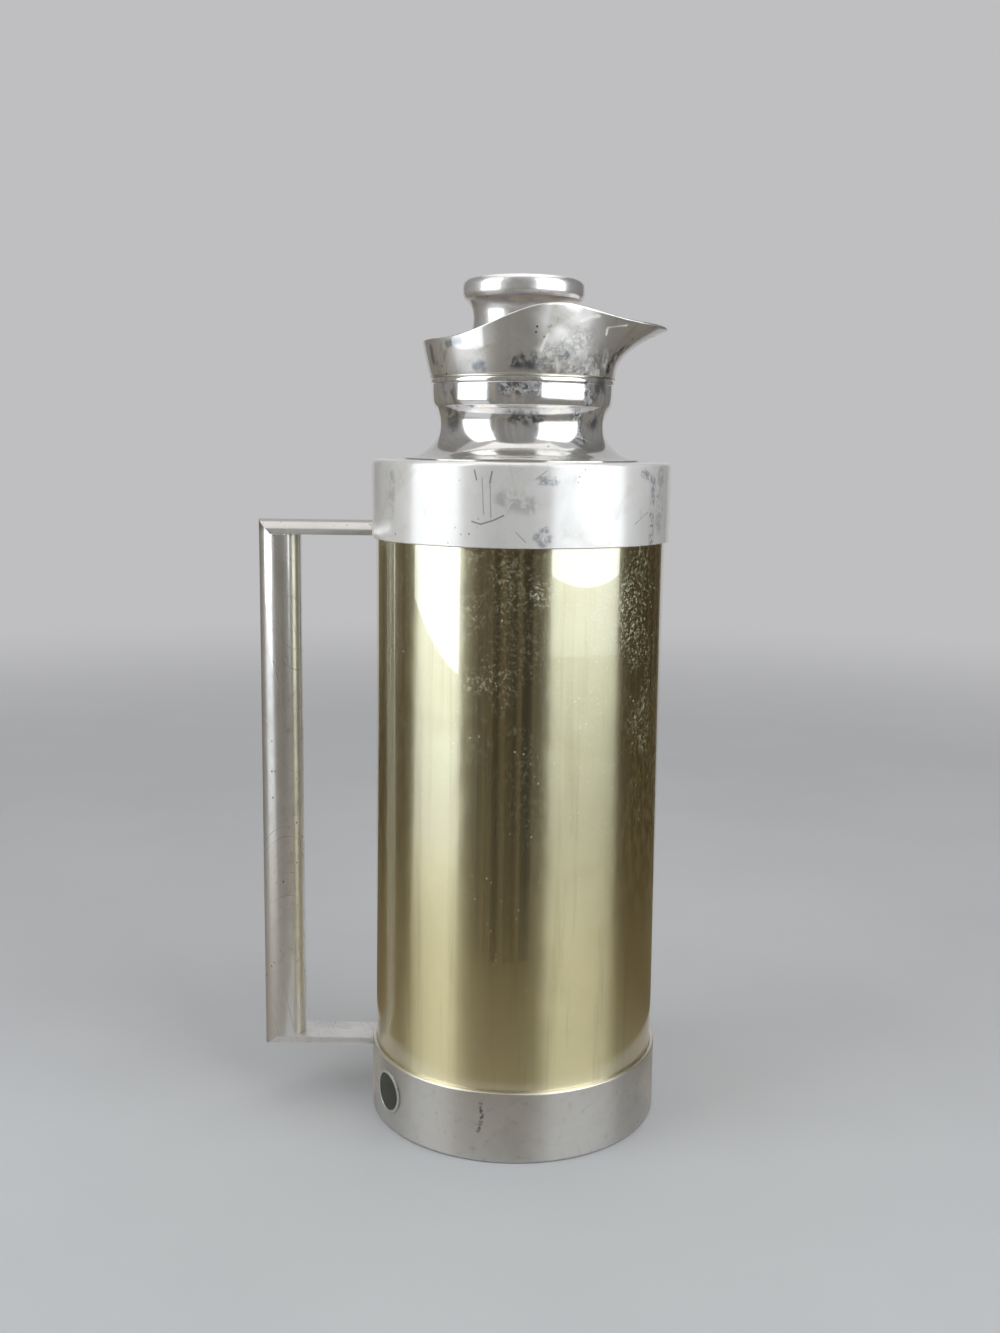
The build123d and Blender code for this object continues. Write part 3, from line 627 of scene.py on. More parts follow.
def lacquered_brass(name, colours):
    """Brass with fine turning lines under old lacquer: an upright glow, pale specks and olive stains."""
    finish = Finish(name, 1.0, 0.30)
    height = finish.height()
    turning = finish.cloud((14, 14, 3400), 4, 0.65)
    clouds = finish.patches(0.40, 0.72, 22, 5, 0.62, 0.9)
    streaks = finish.patches(0.50, 0.70, (230, 230, 9), 5, 0.65, 0.5)
    upper_wear = ((440, -352, 2270), (435, -358, 2040))
    side_wear = ((447, -344, 2125), (464, -320, 1591))
    worn = finish.most(
        (finish.strokes((upper_wear, side_wear), 0.009), 0.6),
        finish.near((0.0370, -0.0425, 0.2080), 0.019),
        (finish.near((0.0085, -0.0557, 0.2160), 0.006), 1.4),
        (finish.near((-0.0120, -0.0550, 0.1800), 0.016), 0.45),
        (finish.near((-0.0130, -0.0548, 0.2200), 0.020), 0.35),
    )
    worn = finish.plus(worn, finish.between(height, 0.10, 0.20, 0.05, 0.22))
    fleck = finish.patches(0.51, 0.61, 700, 5, 0.80, 0.4)
    flecks = finish.times(fleck, finish.patches(0.34, 0.54, 62, 3, 0.6), worn)
    pins = finish.specks(finish.patches(0.46, 0.62, 85, 2))
    pins = finish.times(pins, finish.between(height, 0.06, 0.20, 0.35, 1.0))
    scratches = finish.most(
        finish.hairlines((0, 82, 10), 2400, 14, 0.66, 0.74),
        finish.hairlines((10, 58, -14), 2600, 20, 0.67, 0.75),
    )
    skin = finish.layers(
        colours.brass_low,
        (colours.brass, finish.between(height, 0.06, 0.16)),
        (OLIVE, clouds, 0.30),
        (colours.brass_dark, streaks, 0.30),
        (TURNING_GLEAM, turning, 0.12),
        (colours.brass_pale, flecks),
        (LACQUER_PIN, finish.most(pins, (scratches, 0.35)), 0.8),
    )
    frost = finish.most(flecks, (pins, 0.8))
    rough = finish.plus((turning, 0.06), finish.between(height, 0.05, 0.17, 0.34, 0.275), (frost, 0.30))
    metal = finish.sum("SUBTRACT", 1.0, (frost, 0.45))
    finish.upright_sheen(0.92)
    finish.coat(1.0, 0.02, LACQUER_BENDING)
    relief = finish.relief((finish.cloud(24, 2, 0.5, 0.3), 0.0004), (turning, 0.000004))
    return finish.use(skin, rough, relief, metal)


def turned_metal(name, tint, roughness):
    """Plain turned metal with fine lines and light wear."""
    finish = Finish(name, 1.0, roughness)
    turning = finish.cloud((20, 20, 1500), 3, 0.6)
    clouds = finish.patches(0.35, 0.70, 60, 4, 0.6)
    skin = finish.layers(tint, ([c * 0.72 for c in tint], clouds, 0.4))
    return finish.use(skin, finish.plus((clouds, 0.16), roughness), finish.relief((turning, 0.00001)))


def moulded(name, tint, roughness, grain=FINE_GRAIN, wear=0.3):
    """Rubber, plastic, ceramic or enamel with a fine grain and scuffed patches."""
    finish = Finish(name, 0.0, roughness)
    clouds = finish.patches(0.40, 0.72, 55, 4, 0.6)
    scuffs = finish.times(finish.hairlines((40, 20, 0), 1600, 60, 0.62, 0.72), wear)
    lighter = [min(1.0, c * 1.35 + 0.02) for c in tint]
    scuffed = [min(1.0, c * 2.0 + 0.05) for c in tint]
    skin = finish.layers(tint, (lighter, clouds, 0.6), (scuffed, scuffs))
    relief = finish.relief((finish.cloud(1800, 3, 0.6), grain))
    return finish.use(skin, finish.plus((clouds, 0.14), roughness), relief)


def silvered_glass(name, colours):
    """Glass with its silvering inside the vacuum, under a clear surface."""
    finish = Finish(name, 1.0, 0.05)
    clouds = finish.patches(0.40, 0.75, 40, 3, 0.6)
    skin = finish.layers(colours.glass, (GLASS_CLOUD, clouds, 0.3))
    finish.coat(1.0, 0.02, GLASS_BENDING)
    relief = finish.relief((finish.cloud(30, 2), 0.0005))
    return finish.use(skin, finish.plus((clouds, 0.05), 0.04), relief)


# Marks of single pieces, scratches and stains with some painted highlights and painted shade: each has its
# width in metres, its colour, its share, the scale of the cloud that breaks it up or 0, and its lines, whose
# points are in tenths of a millimetre

BAND_MARKS = (
    (
        0.00042, (0.13, 0.13, 0.14), 0.75, 0,
        ((-164, -556, 2598), (-156, -559, 2565)),
        ((-102, -571, 2594), (-109, -570, 2556)),
        ((-171, -554, 2419), (-141, -563, 2410), (-95, -572, 2425), (-60, -577, 2442)),
    ),
    (
        0.00034, (0.20, 0.20, 0.21), 0.5, 0,
        ((-109, -570, 2556), (-104, -571, 2433)),
        ((-137, -564, 2572), (-130, -565, 2446)),
        ((-15, -580, 2383), (19, -580, 2350)),
        ((415, -405, 2409), (466, -345, 2450)),
        ((51, -578, 2568), (89, -573, 2599)),
    ),
    (
        0.0024, (0.18, 0.20, 0.25), 0.7, 420,
        ((445, -372, 2592), (488, -313, 2558), (483, -321, 2456), (483, -321, 2339)),
        ((70, -576, 2565), (120, -567, 2563)),
        ((78, -575, 2345), (84, -574, 2392)),
        ((60, -577, 2365), (100, -571, 2362)),
    ),
    (
        0.0048, (0.32, 0.32, 0.33), 0.5, 210,
        ((-482, -323, 2561), (-482, -323, 2436)),
        ((-60, -577, 2500), (30, -579, 2478)),
        ((520, -257, 2580), (515, -267, 2400)),
    ),
)
NECK_BAND_SPOT = ((-60, -345, 2890), (84, -341, 2890))
NECK_SIDE_SPOT = ((225, -268, 2905), (245, -250, 2850))
NECK_LOW_SPOT = ((205, -260, 2800), (210, -245, 2700))
NECK_MARKS = (
    (
        0.0017, (0.95, 0.86, 0.72), 0.8, 0,
        ((-141, -304, 2818), (134, -307, 2818)),
        ((-200, -400, 2636), (100, -420, 2634)),
    ),
    (
        0.0042, (0.08, 0.085, 0.12), 0.85, 420,
        NECK_BAND_SPOT,
        ((-40, -330, 2790), (60, -327, 2780)),
        NECK_SIDE_SPOT,
        NECK_LOW_SPOT,
    ),
    (0.0040, (0.90, 0.90, 0.92), 0.5, 560, NECK_BAND_SPOT, NECK_SIDE_SPOT, NECK_LOW_SPOT),
    # Painted shade: darker down both sides of the neck band
    (
        0.0062, (0.15, 0.16, 0.19), 0.85, 130,
        ((-276, -216, 2900), (-272, -220, 2840), (-260, -191, 2775)),
        ((290, -200, 2900), (286, -205, 2845), (270, -180, 2785)),
    ),
)
COLLAR_MARKS = (
    (
        0.0022, (0.17, 0.20, 0.25), 0.75, 0,
        ((-172, -323, 2964), (-152, -332, 2970)),
        ((-275, -262, 3050), (-225, -300, 3058)),
        ((-335, -160, 2990), (-338, -160, 3040)),
        ((165, -345, 3015), (180, -340, 3020)),
    ),
    (
        0.0034, (0.09, 0.11, 0.16), 0.9, 150,
        ((-35, -368, 2980), (51, -366, 2975)),
        ((7, -373, 3005), (30, -372, 2995)),
        ((-162, -327, 2967), (-150, -333, 2965)),
        ((144, -346, 3019), (152, -343, 3010)),
    ),
    # Painted highlight: pale wide streaks on the collar's front right
    (
        0.0090, (0.92, 0.90, 0.87), 0.65, 300,
        ((90, -365, 3000), (190, -330, 3060)),
        ((130, -345, 2960), (290, -240, 2975)),
    ),
    (
        0.0070, (0.14, 0.14, 0.15), 0.38, 620,
        ((80, -368, 2980), (230, -320, 3070)),
        ((200, -310, 2955), (310, -220, 3000)),
    ),
    # Painted shade: near black along the flank that runs out under the lip
    (
        0.0034, (0.03, 0.03, 0.03), 0.95, 300,
        ((319, -167, 2937), (325, -177, 2973), (348, -154, 3011), (390, -130, 3040)),
    ),
    # Painted highlights: thin pale lines on the front, a hook towards the lip and a line under the top edge
    (
        0.0009, (0.98, 0.93, 0.84), 0.9, 0,
        ((64, -369, 3024), (75, -373, 3052), (88, -373, 3080)),
        ((306, -258, 3087), (306, -262, 3102), (312, -266, 3111), (381, -221, 3123)),
        ((207, -337, 3129), (239, -320, 3145), (276, -303, 3150)),
    ),
)
KNOB_MARKS = (
    (
        0.0018, (0.62, 0.50, 0.30), 0.7, 160,
        ((-60, -212, 3214), (60, -212, 3214), (140, -170, 3214), (190, -110, 3214)),
    ),
)

# Pieces


class JUG_OT_bands(bpy.types.Operator):
    """Turn the lower band, and the upper band with its shelf"""

    bl_idname = "jug.bands"
    bl_label = "Bands"

    def execute(self, context):
        size = context.scene.jug_body
        colours = context.scene.jug_colours
        inner = size.radius - size.wall
        foot = size.radius - size.foot_rim
        ledge = size.shelf - SHELF_THICKNESS
        inner_edge = (0.0003, 2)
        section = [
            (foot, 0),
            (size.radius, 0),
            (size.radius, size.lower_top),
            (inner, size.lower_top),
            (inner, size.foot_thickness),
            (foot, size.foot_thickness),
        ]
        mesh = turned(section, {1: (size.foot_round, 6), 2: (0.0006, 5), 3: inner_edge})
        finish = satin_plate("satin_plate", colours)
        keep(mesh, "lower_band_turned", "jug", finish, ["lower_band"])
        section = [
            (size.radius, size.upper_bottom),
            (size.radius, size.shelf),
            (size.shelf_hole, size.shelf),
            (size.shelf_hole, ledge),
            (inner, ledge),
            (inner, size.upper_bottom),
        ]
        mesh = turned(section, {0: (0.0004, 4), 1: (size.shelf_round, 10), 5: inner_edge})
        look = {"haze": 0.38, "polish": 0.52, "stains": 0.6, "gloss": 0.9, "wavy": 0.00001, "blur": 0.18}
        finish = silver_plate("band_plate", colours, marks=BAND_MARKS, **look)
        keep(mesh, "upper_band_turned", "jug", finish, ["upper_band"])
        return {"FINISHED"}


class JUG_OT_sleeve(bpy.types.Operator):
    """Turn the brass sleeve between the bands"""

    bl_idname = "jug.sleeve"
    bl_label = "Brass sleeve"

    def execute(self, context):
        size = context.scene.jug_body
        inner = size.sleeve_radius - size.sleeve_wall
        top = size.shelf - SHELF_THICKNESS
        rows = 24
        heights = [size.foot_thickness + (top - size.foot_thickness) * i / rows for i in range(rows + 1)]
        section = [(size.sleeve_radius, z) for z in heights] + [(inner, heights[-1]), (inner, heights[0])]
        finish = lacquered_brass("lacquered_brass", context.scene.jug_colours)
        keep(turned(section), "brass_sleeve_turned", "jug", finish, ["brass_sleeve"])
        return {"FINISHED"}


class JUG_OT_neck(bpy.types.Operator):
    """Spin the bell-shaped neck with its bead, and the thin brass ring over it"""

    bl_idname = "jug.neck"
    bl_label = "Neck"

    def execute(self, context):
        size = context.scene.jug_neck
        bore = context.scene.jug_collar.bore
        shelf = context.scene.jug_body.shelf
        wall = size.wall
        bell = (size.foot_radius, shelf + size.throat_rise)
        throat = (size.throat_radius, bell[1])
        width = size.foot_radius - size.throat_radius
        height = size.throat_rise - size.foot_edge
        crease = (size.crease_radius, shelf + size.crease_rise)
        bulge_inset = 0.0002
        bulge_rise = 0.0024
        bulge = (size.band_radius - bulge_inset, crease[1] + bulge_rise)
        band_end = (size.band_radius, shelf + size.band_rise)
        low, high = LOW["seam_ring"].z, HIGH["seam_ring"].z
        bead_height = (low - band_end[1]) / 2
        bead = (size.band_radius, band_end[1] + bead_height)
        outside = [(size.foot_radius, shelf)]
        outside += oval_arc(bell, width, height, 180, 270, 40)[::-1]
        outside += smooth_line([throat, crease], (0, 1), (0.75, 1), 24)[1:]
        outside += smooth_line([crease, bulge, band_end], (0.45, 1), (0.0, 1), 12)[1:]
        outside += oval_arc(bead, size.bead, bead_height, -90, 90, 14)[1:]
        fold = (size.crease_radius - wall, crease[1])
        inside = [(size.band_radius - wall, low), fold]
        inside += smooth_line([(size.throat_radius - wall, bell[1]), fold], (0, 1), (0.9, 1), 12)[-2::-1]
        foot_angle = math.degrees(math.asin(size.throat_rise / (height + wall)))
        inside += oval_arc(bell, width + wall, height + wall, 180, 180 + foot_angle, 24)[1:]
        look = {"haze": 0.24, "polish": 0.10, "stains": 0.8, "gloss": 0.8, "wavy": 0.00003}
        # Painted shade: darker down the bell's flare towards the shelf
        shade = (0.2735, 0.2655, (0.46, 0.43, 0.39), 0.75)
        finish = silver_plate("neck_plate", context.scene.jug_colours, marks=NECK_MARKS, shade=shade, **look)
        keep(turned(outside + inside), "neck_bell_spun", "jug", finish, ["neck_bell"])

        radius = size.band_radius + size.bead + CLEARANCE
        ring_edge = (0.0002, 4)
        section = [(radius, low), (radius, high), (bore, high), (bore, low)]
        mesh = turned(section, {0: ring_edge, 1: ring_edge})
        finish = turned_metal("seam_brass", RING_BRASS, 0.22)
        keep(mesh, "seam_ring_turned", "jug", finish, ["seam_ring"])
        return {"FINISHED"}


class JUG_OT_collar(bpy.types.Operator):
    """Raise the thin collar, cut its rim and draw out the pouring lip"""

    bl_idname = "jug.collar"
    bl_label = "Pouring collar"
    flat_back = 0.0046
    lip_start = 0.0011
    tip_slope = -0.14
    back_curve = 0.81
    lip_curve = 2.3
    lip_focus = 20
    edge = 0.0004
    rows = 30
    columns = 540
    rim_steps = 40

    def rim(self, size):
        """Points along the rim as seen from the side."""
        back = self.flat_back - size.radius
        middle = ((back + size.shoulder_x) / 2, size.middle_rise)
        shoulder = (size.shoulder_x, size.shoulder_rise)
        front = (size.radius + self.lip_start, size.front_rise)
        tip = (size.radius + size.lip, size.lip_rise)
        line = smooth_line([(back, size.back_rise), middle, shoulder], (1, 0), (1, 0), self.rim_steps)
        return line + smooth_line([shoulder, front, tip], (1, 0), (1, self.tip_slope), self.rim_steps)[1:]

    def reach(self, size, turn, rise):
        """Distance of the wall from the axis in a direction and at a rise."""
        back = size.radius + size.flare * (rise / size.height) ** self.back_curve
        front = size.radius + size.lip * (rise / size.lip_rise) ** self.lip_curve
        return back + (front - back) * ((1 + math.cos(turn)) / 2) ** self.lip_focus

    def top(self, size, turn, rim):
        """Rise of the rim in a direction, found by halving."""
        low, high = 0.0, size.height
        for _ in range(40):
            middle = (low + high) / 2
            if middle < np.interp(self.reach(size, turn, middle) * math.cos(turn), *rim):
                low = middle
            else:
                high = middle
        return low

    def execute(self, context):
        size = context.scene.jug_collar
        rim = list(zip(*self.rim(size)))
        wall = [(1.0, step / self.rows) for step in range(self.rows + 1)]
        mesh = turned(wall, steps=self.columns, closed=False)
        tops = {}
        for vert in mesh.verts:
            turn = math.atan2(vert.co.y, vert.co.x)
            key = round(turn, 6)
            if key not in tops:
                tops[key] = self.top(size, turn, rim)
            rise = tops[key] * vert.co.z
            out = self.reach(size, turn, rise)
            vert.co = (out * math.cos(turn), out * math.sin(turn), size.bottom + rise)
        bmesh.ops.recalc_face_normals(mesh, faces=mesh.faces[:])
        first = mesh.faces[0]
        if first.normal.dot(Vector((*first.calc_center_median().xy, 0))) < 0:
            bmesh.ops.reverse_faces(mesh, faces=mesh.faces[:])
        bmesh.ops.solidify(mesh, geom=mesh.faces[:], thickness=size.wall)
        bmesh.ops.recalc_face_normals(mesh, faces=mesh.faces[:])
        soften(mesh, 55, self.edge, 3)
        outer = size.radius - self.edge
        low, high = size.bottom, size.bottom + size.wall
        flange = turned([(size.bore, low), (outer, low), (outer, high), (size.bore, high)])
        spare = bpy.data.meshes.new("flange")
        flange.to_mesh(spare)
        flange.free()
        mesh.from_mesh(spare)
        bpy.data.meshes.remove(spare)
        look = {"haze": 0.20, "polish": 0.28, "stains": 1.4, "gloss": 0.9, "wavy": 0.00008}
        finish = silver_plate("collar_plate", context.scene.jug_colours, marks=COLLAR_MARKS, **look)
        keep(mesh, "spout_collar_raised", "jug", finish, ["spout_collar"], 40)
        return {"FINISHED"}


class JUG_OT_knob(bpy.types.Operator):
    """Spin the stopper's hollow knob"""

    bl_idname = "jug.knob"
    bl_label = "Stopper knob"
    rim_overhang = 0.0009
    rim_slope = 0.0018

    def execute(self, context):
        size = context.scene.jug_knob
        rim_bottom = size.top - size.rim_height
        ceiling = size.top - size.wall
        waist = (size.waist_radius, size.top - size.waist_drop)
        under = (size.rim_radius - self.rim_overhang, rim_bottom)
        rim_foot = (size.rim_radius, rim_bottom + self.rim_slope)
        section = smooth_line([(size.hem_radius, size.hem), waist, under], (-0.12, 1), (1, 0.55), 28)
        section += [rim_foot, (size.rim_radius, size.top), (0.0, size.top)]
        corner = len(section) - 2
        section += [(0.0, ceiling), (size.waist_radius - size.wall, ceiling)]
        section += [(size.waist_radius - size.wall, waist[1]), (size.hem_radius - size.wall, size.hem)]
        rounded = {corner: (size.rim_round, 14), corner - 1: (0.0008, 4), corner - 2: (0.0003, 3)}
        look = {"haze": 0.24, "polish": 0.29, "stains": 0.6, "gloss": 1.0, "wavy": 0.00003}
        finish = silver_plate("knob_plate", context.scene.jug_colours, marks=KNOB_MARKS, **look)
        mesh = turned(section, rounded, 320)
        keep(mesh, "stopper_knob_spun", "stopper", finish, ["stopper_knob"], 35)
        return {"FINISHED"}


class JUG_OT_handle(bpy.types.Operator):
    """Cut and mitre the round grip, and slice the two arms from the same bar"""

    bl_idname = "jug.handle"
    bl_label = "Handle"
    sharpest = 50

    def grip(self, size, mitre):
        """Tube cut by both mitres, with its closed ends folded where they meet the arms."""
        mesh = bmesh.new()
        bmesh.ops.create_cone(
            mesh,
            cap_ends=False,
            segments=160,
            radius1=size.radius,
            radius2=size.radius,
            depth=1.0,
            matrix=Matrix.Translation((-size.distance, 0, 0)),
        )
        tube = mesh.verts[:] + mesh.edges[:] + mesh.faces[:]
        bmesh.ops.bisect_plane(mesh, geom=tube, plane_co=(mitre, 0, 0), plane_no=(1, 0, 0))
        for vert in mesh.verts:
            step = max(0.0, mitre - vert.co.x)
            vert.co.z = size.upper_flat + step if vert.co.z > 0 else size.lower_flat - step
        for side in (1, -1):
            ring = [e for e in mesh.edges if e.is_boundary and e.verts[0].co.z * side > side * 0.1]
            end = bmesh.ops.edgeloop_fill(mesh, edges=ring)["faces"][0]
            fold = sorted((v for v in end.verts if abs(v.co.x - mitre) < 1e-6), key=lambda v: v.co.y)
            bmesh.ops.connect_vert_pair(mesh, verts=[fold[0], fold[-1]])
        tidy(mesh)
        soften(mesh, self.sharpest, size.edge * 0.5, 2)
        return mesh

    def arm(self, size, mitre, reach, flat, side):
        """Bar sliced flat on one side, from the band to the mitre."""
        mesh = bmesh.new()
        middle = Matrix.Translation((0, 0, flat - side * (size.radius - size.depth)))
        lying = middle @ Matrix.Rotation(math.pi / 2, 4, "Y")
        bmesh.ops.create_circle(mesh, cap_ends=False, radius=size.radius, segments=128, matrix=lying)
        bmesh.ops.bisect_plane(
            mesh,
            geom=mesh.verts[:] + mesh.edges[:],
            plane_co=(0, 0, flat),
            plane_no=(0, 0, side),
            clear_inner=True,
        )
        mesh.edges.new([v for v in mesh.verts if len(v.link_edges) == 1])
        face = bmesh.ops.contextual_create(mesh, geom=mesh.edges[:])["faces"]
        bar = bmesh.ops.extrude_face_region(mesh, geom=face)["geom"]
        far = [v for v in bar if isinstance(v, bmesh.types.BMVert)]
        bmesh.ops.translate(mesh, verts=far, vec=(-1, 0, 0))
        for vert in mesh.verts:
            if vert.co.x < -0.5:
                vert.co.x = mitre - abs(vert.co.z - flat)
            else:
                vert.co.x = -math.sqrt(reach**2 - vert.co.y**2)
        tidy(mesh)
        soften(mesh, self.sharpest, size.edge, 3)
        return mesh

    def execute(self, context):
        size = context.scene.jug_handle
        reach = context.scene.jug_body.radius + CLEARANCE
        mitre = -(size.distance + (size.radius - size.depth))
        look = {"haze": 0.16, "polish": 0.28, "stains": 1.0, "gloss": 1.0, "wavy": 0.00003, "dull": 0.16}
        # Painted shade: darker upwards over the rounded top of the upper arm
        shade = (0.2336, 0.2362, (0.36, 0.34, 0.29), 0.8)
        finish = silver_plate("handle_plate", context.scene.jug_colours, shade=shade, **look)
        mesh = self.grip(size, mitre)
        keep(mesh, "handle_grip_mitred", "jug", finish, ["handle_grip"])
        for name, flat, side in (("upper", size.upper_flat, 1), ("lower", size.lower_flat, -1)):
            mesh = self.arm(size, mitre, reach, flat, side)
            keep(mesh, f"handle_{name}_arm_bar", "jug", finish, [f"handle_{name}_arm"])
        return {"FINISHED"}


class JUG_OT_badge(bpy.types.Operator):
    """Press the bare round badge and its bezel to the curve of the lower band"""

    bl_idname = "jug.badge"
    bl_label = "Badge"
    rings = 12
    columns = 120

    def wrap(self, mesh, size, radius):
        """Bend a flat round piece, with its front towards +Z, on to the band."""
        for vert in mesh.verts:
            across, up, out = vert.co
            turn = size.angle + math.asin(across / radius)
            far = radius + out
            vert.co = (far * math.cos(turn), far * math.sin(turn), size.height + up)
        tidy(mesh)

    def execute(self, context):
        size = context.scene.jug_badge
        colours = context.scene.jug_colours
        radius = context.scene.jug_body.radius
        inner = size.radius - size.bezel
        stand = size.bezel_stand
        bezel_edge = (0.00035, 6)
        section = [(inner, CLEARANCE), (size.radius, CLEARANCE), (size.radius, stand), (inner, stand)]
        mesh = turned(section, {2: bezel_edge, 3: bezel_edge}, self.columns)
        self.wrap(mesh, size, radius)
        look = {"haze": 0.40, "polish": 0.42, "stains": 1.4, "gloss": 0.12, "wavy": 0.00002, "blur": 0.3}
        shade = (0.05, 0.04, (0.38, 0.37, 0.34), 0.8)
        dull = silver_plate("bezel_plate", colours, shade=shade, **look)
        keep(mesh, "badge_bezel_pressed", "jug", dull, ["badge_bezel"])
        edge = inner - CLEARANCE
        section = [(edge * i / self.rings, size.disc_stand) for i in range(self.rings + 1)]
        section += [(edge, CLEARANCE), (0.0, CLEARANCE)]
        mesh = turned(section, {self.rings: (0.0002, 3)}, self.columns)
        self.wrap(mesh, size, radius)
        enamel = moulded("badge_enamel", colours.enamel, 0.42, grain=0.00008, wear=0.9)
        keep(mesh, "badge_disc_pressed", "jug", enamel, ["badge_disc"])
        return {"FINISHED"}


class JUG_OT_inside(bpy.types.Operator):
    """Give the flask, the moulded and rubber parts and the fasteners their finishes"""

    bl_idname = "jug.inside"
    bl_label = "Parts inside"

    def execute(self, context):
        colours = context.scene.jug_colours
        dress(["outer_flask", "inner_flask"], silvered_glass("silvered_glass", colours))
        dress(["spacer_pads"], moulded("ceramic_pad", colours.ceramic, 0.6))
        rubber = moulded("black_rubber", colours.rubber, 0.55, grain=0.00003)
        dress(["neck_gasket", "stopper_gasket", "base_cap_gasket"], rubber)
        dress(["plug_seal_rings", "flask_cushion"], rubber)
        plastic = moulded("brown_plastic", colours.plastic, 0.34)
        dress(["mouth_ring", "stopper_plug", "base_cap"], plastic)
        steel = turned_metal("screw_steel", colours.steel, 0.26)
        dress(["stopper_screw", "stopper_washer", "handle_screws", "handle_washers"], steel)
        dress(["base_ring", "knob_boss"], turned_metal("plain_brass", colours.turned_brass, 0.25))
        return {"FINISHED"}


class JUG_OT_stage(bpy.types.Operator):
    """Set up the pale floor, the soft lights, the dark cards and the camera"""

    bl_idname = "jug.stage"
    bl_label = "Stage"
    floor_radius = 3.0
    fade_start = 0.45
    fade_end = 1.6
    mat_height = 0.0003
    mat_steps = 48
    softbox_top = 1.30
    overhead_side = 1.3
    overhead_radiance = 0.9
    cool_light = (0.93, 1.0, 1.03)
    plain_light = (1.0, 1.0, 1.0)
    # Painted light on the floor mats: a glow that grows towards the jug and is paler right beside it
    far_glow = (0.145, 0.132, 0.115)
    near_glow = (0.44, 0.42, 0.40)

    def staged(self, mesh, name, finish, seen):
        """Keep a piece of the stage."""
        data = bpy.data.meshes.new(name)
        mesh.to_mesh(data)
        mesh.free()
        data.materials.append(finish)
        thing = bpy.data.objects.new(name, data)
        bpy.context.scene.collection.objects.link(thing)
        if not seen:
            thing.visible_camera = thing.visible_diffuse = thing.visible_shadow = False

    def upright(self, bearing, half, distance, low, high):
        """Place, width and height of an upright panel that faces the jug from a bearing."""
        turn = math.radians(bearing)
        centre = (distance * math.sin(turn), -distance * math.cos(turn), (low + high) / 2)
        facing = Matrix.Rotation(turn, 4, "Z") @ Matrix.Rotation(math.pi / 2, 4, "X")
        width = 2 * distance * math.tan(math.radians(half))
        return Matrix.Translation(centre) @ facing, width, high - low

    def softbox(self, name, place, width, height, radiance, tint):
        """A soft rectangle of light that the camera doesn't see."""
        light = bpy.data.lights.new(name, "AREA")
        light.shape = "RECTANGLE"
        light.size = width
        light.size_y = height
        light.energy = radiance * math.pi * width * height
        light.color = tint
        lamp = bpy.data.objects.new(name, light)
        lamp.matrix_world = place
        lamp.visible_camera = False
        bpy.context.scene.collection.objects.link(lamp)

    def card(self, name, finish, *sides):
        """An upright dark card that only reflections show."""
        place, width, height = self.upright(*sides)
        stretch = Matrix.Diagonal((width / 2, height / 2, 1, 1))
        mesh = bmesh.new()
        bmesh.ops.create_grid(mesh, x_segments=1, y_segments=1, size=1, matrix=place @ stretch)
        self.staged(mesh, name, finish, False)

    def mat(self, name, finish, first, last, near, wide):
        """A mat between two bearings on the floor that only reflections show."""
        mesh = bmesh.new()
        turns = [math.radians(first + (last - first) * i / self.mat_steps) for i in range(self.mat_steps + 1)]
        edges = []
        for reach in (near, wide):
            spots = [(reach * math.sin(a), -reach * math.cos(a), self.mat_height) for a in turns]
            row = [mesh.verts.new(spot) for spot in spots]
            edges += [mesh.edges.new(pair) for pair in zip(row, row[1:])]
        bmesh.ops.bridge_loops(mesh, edges=edges)
        self.staged(mesh, name, finish, False)

    def cloth(self, name, fine, dim, pale):
        """Glowing sheet that only reflections show, dark with upright folds like hanging cloth and warmer below
        a fifth of a metre; where it lies on the floor a painted glow grows towards the jug.
        """
        dark = Finish(name, 0.0, 1.0)
        folds = dark.patches(0.42, 0.62, (fine, fine, 0.2), 5, 0.65)
        away = dark.offset("DISTANCE", dark.offset("MULTIPLY", dark.place, (1, 1, 0)), (0, 0, 0))
        height = dark.height()
        low = dark.between(height, 0.004, 0.001)
        warm = dark.blend(dark.between(height, 0.20, 0.34), (1.0, 0.88, 0.58), (1.0, 1.0, 1.0))
        tone = dark.layers(dim, (pale, folds), (self.far_glow, dark.between(away, 0.50, 0.16), low))
        tone = dark.blend(1.0, tone, warm, "MULTIPLY")
        tone = dark.layers(tone, (self.near_glow, dark.between(away, 0.125, 0.115), low))
        glow = dark.add("ShaderNodeEmission")
        dark.feed(glow.inputs["Color"], tone)
        dark.feed(dark.tree.nodes["Material Output"].inputs["Surface"], glow.outputs["Emission"])
        return dark.material

    def floor(self, pale):
        """Round sheet of pale paper that fades into the background."""
        finish = Finish("floor_paper", 0.0, 0.6)
        tone = finish.blend(finish.patches(0.3, 0.7, 7, 3), pale, [c * 0.965 for c in pale])
        finish.use(tone, 0.6, finish.relief((finish.cloud(900, 3, 0.6), 0.00003)))
        finish.shader.inputs["Specular IOR Level"].default_value = 0.0
        away = finish.offset("DISTANCE", finish.place, (0, 0, 0))
        share = finish.between(away, self.fade_start, self.fade_end)
        clear = finish.add("ShaderNodeBsdfTransparent")
        finish.show("Material Output", share, finish.shader.outputs["BSDF"], clear.outputs["BSDF"])
        mesh = bmesh.new()
        under = Matrix.Translation((0, 0, -CLEARANCE))
        bmesh.ops.create_circle(mesh, cap_ends=True, radius=self.floor_radius, segments=128, matrix=under)
        self.staged(mesh, "floor", finish.material, True)

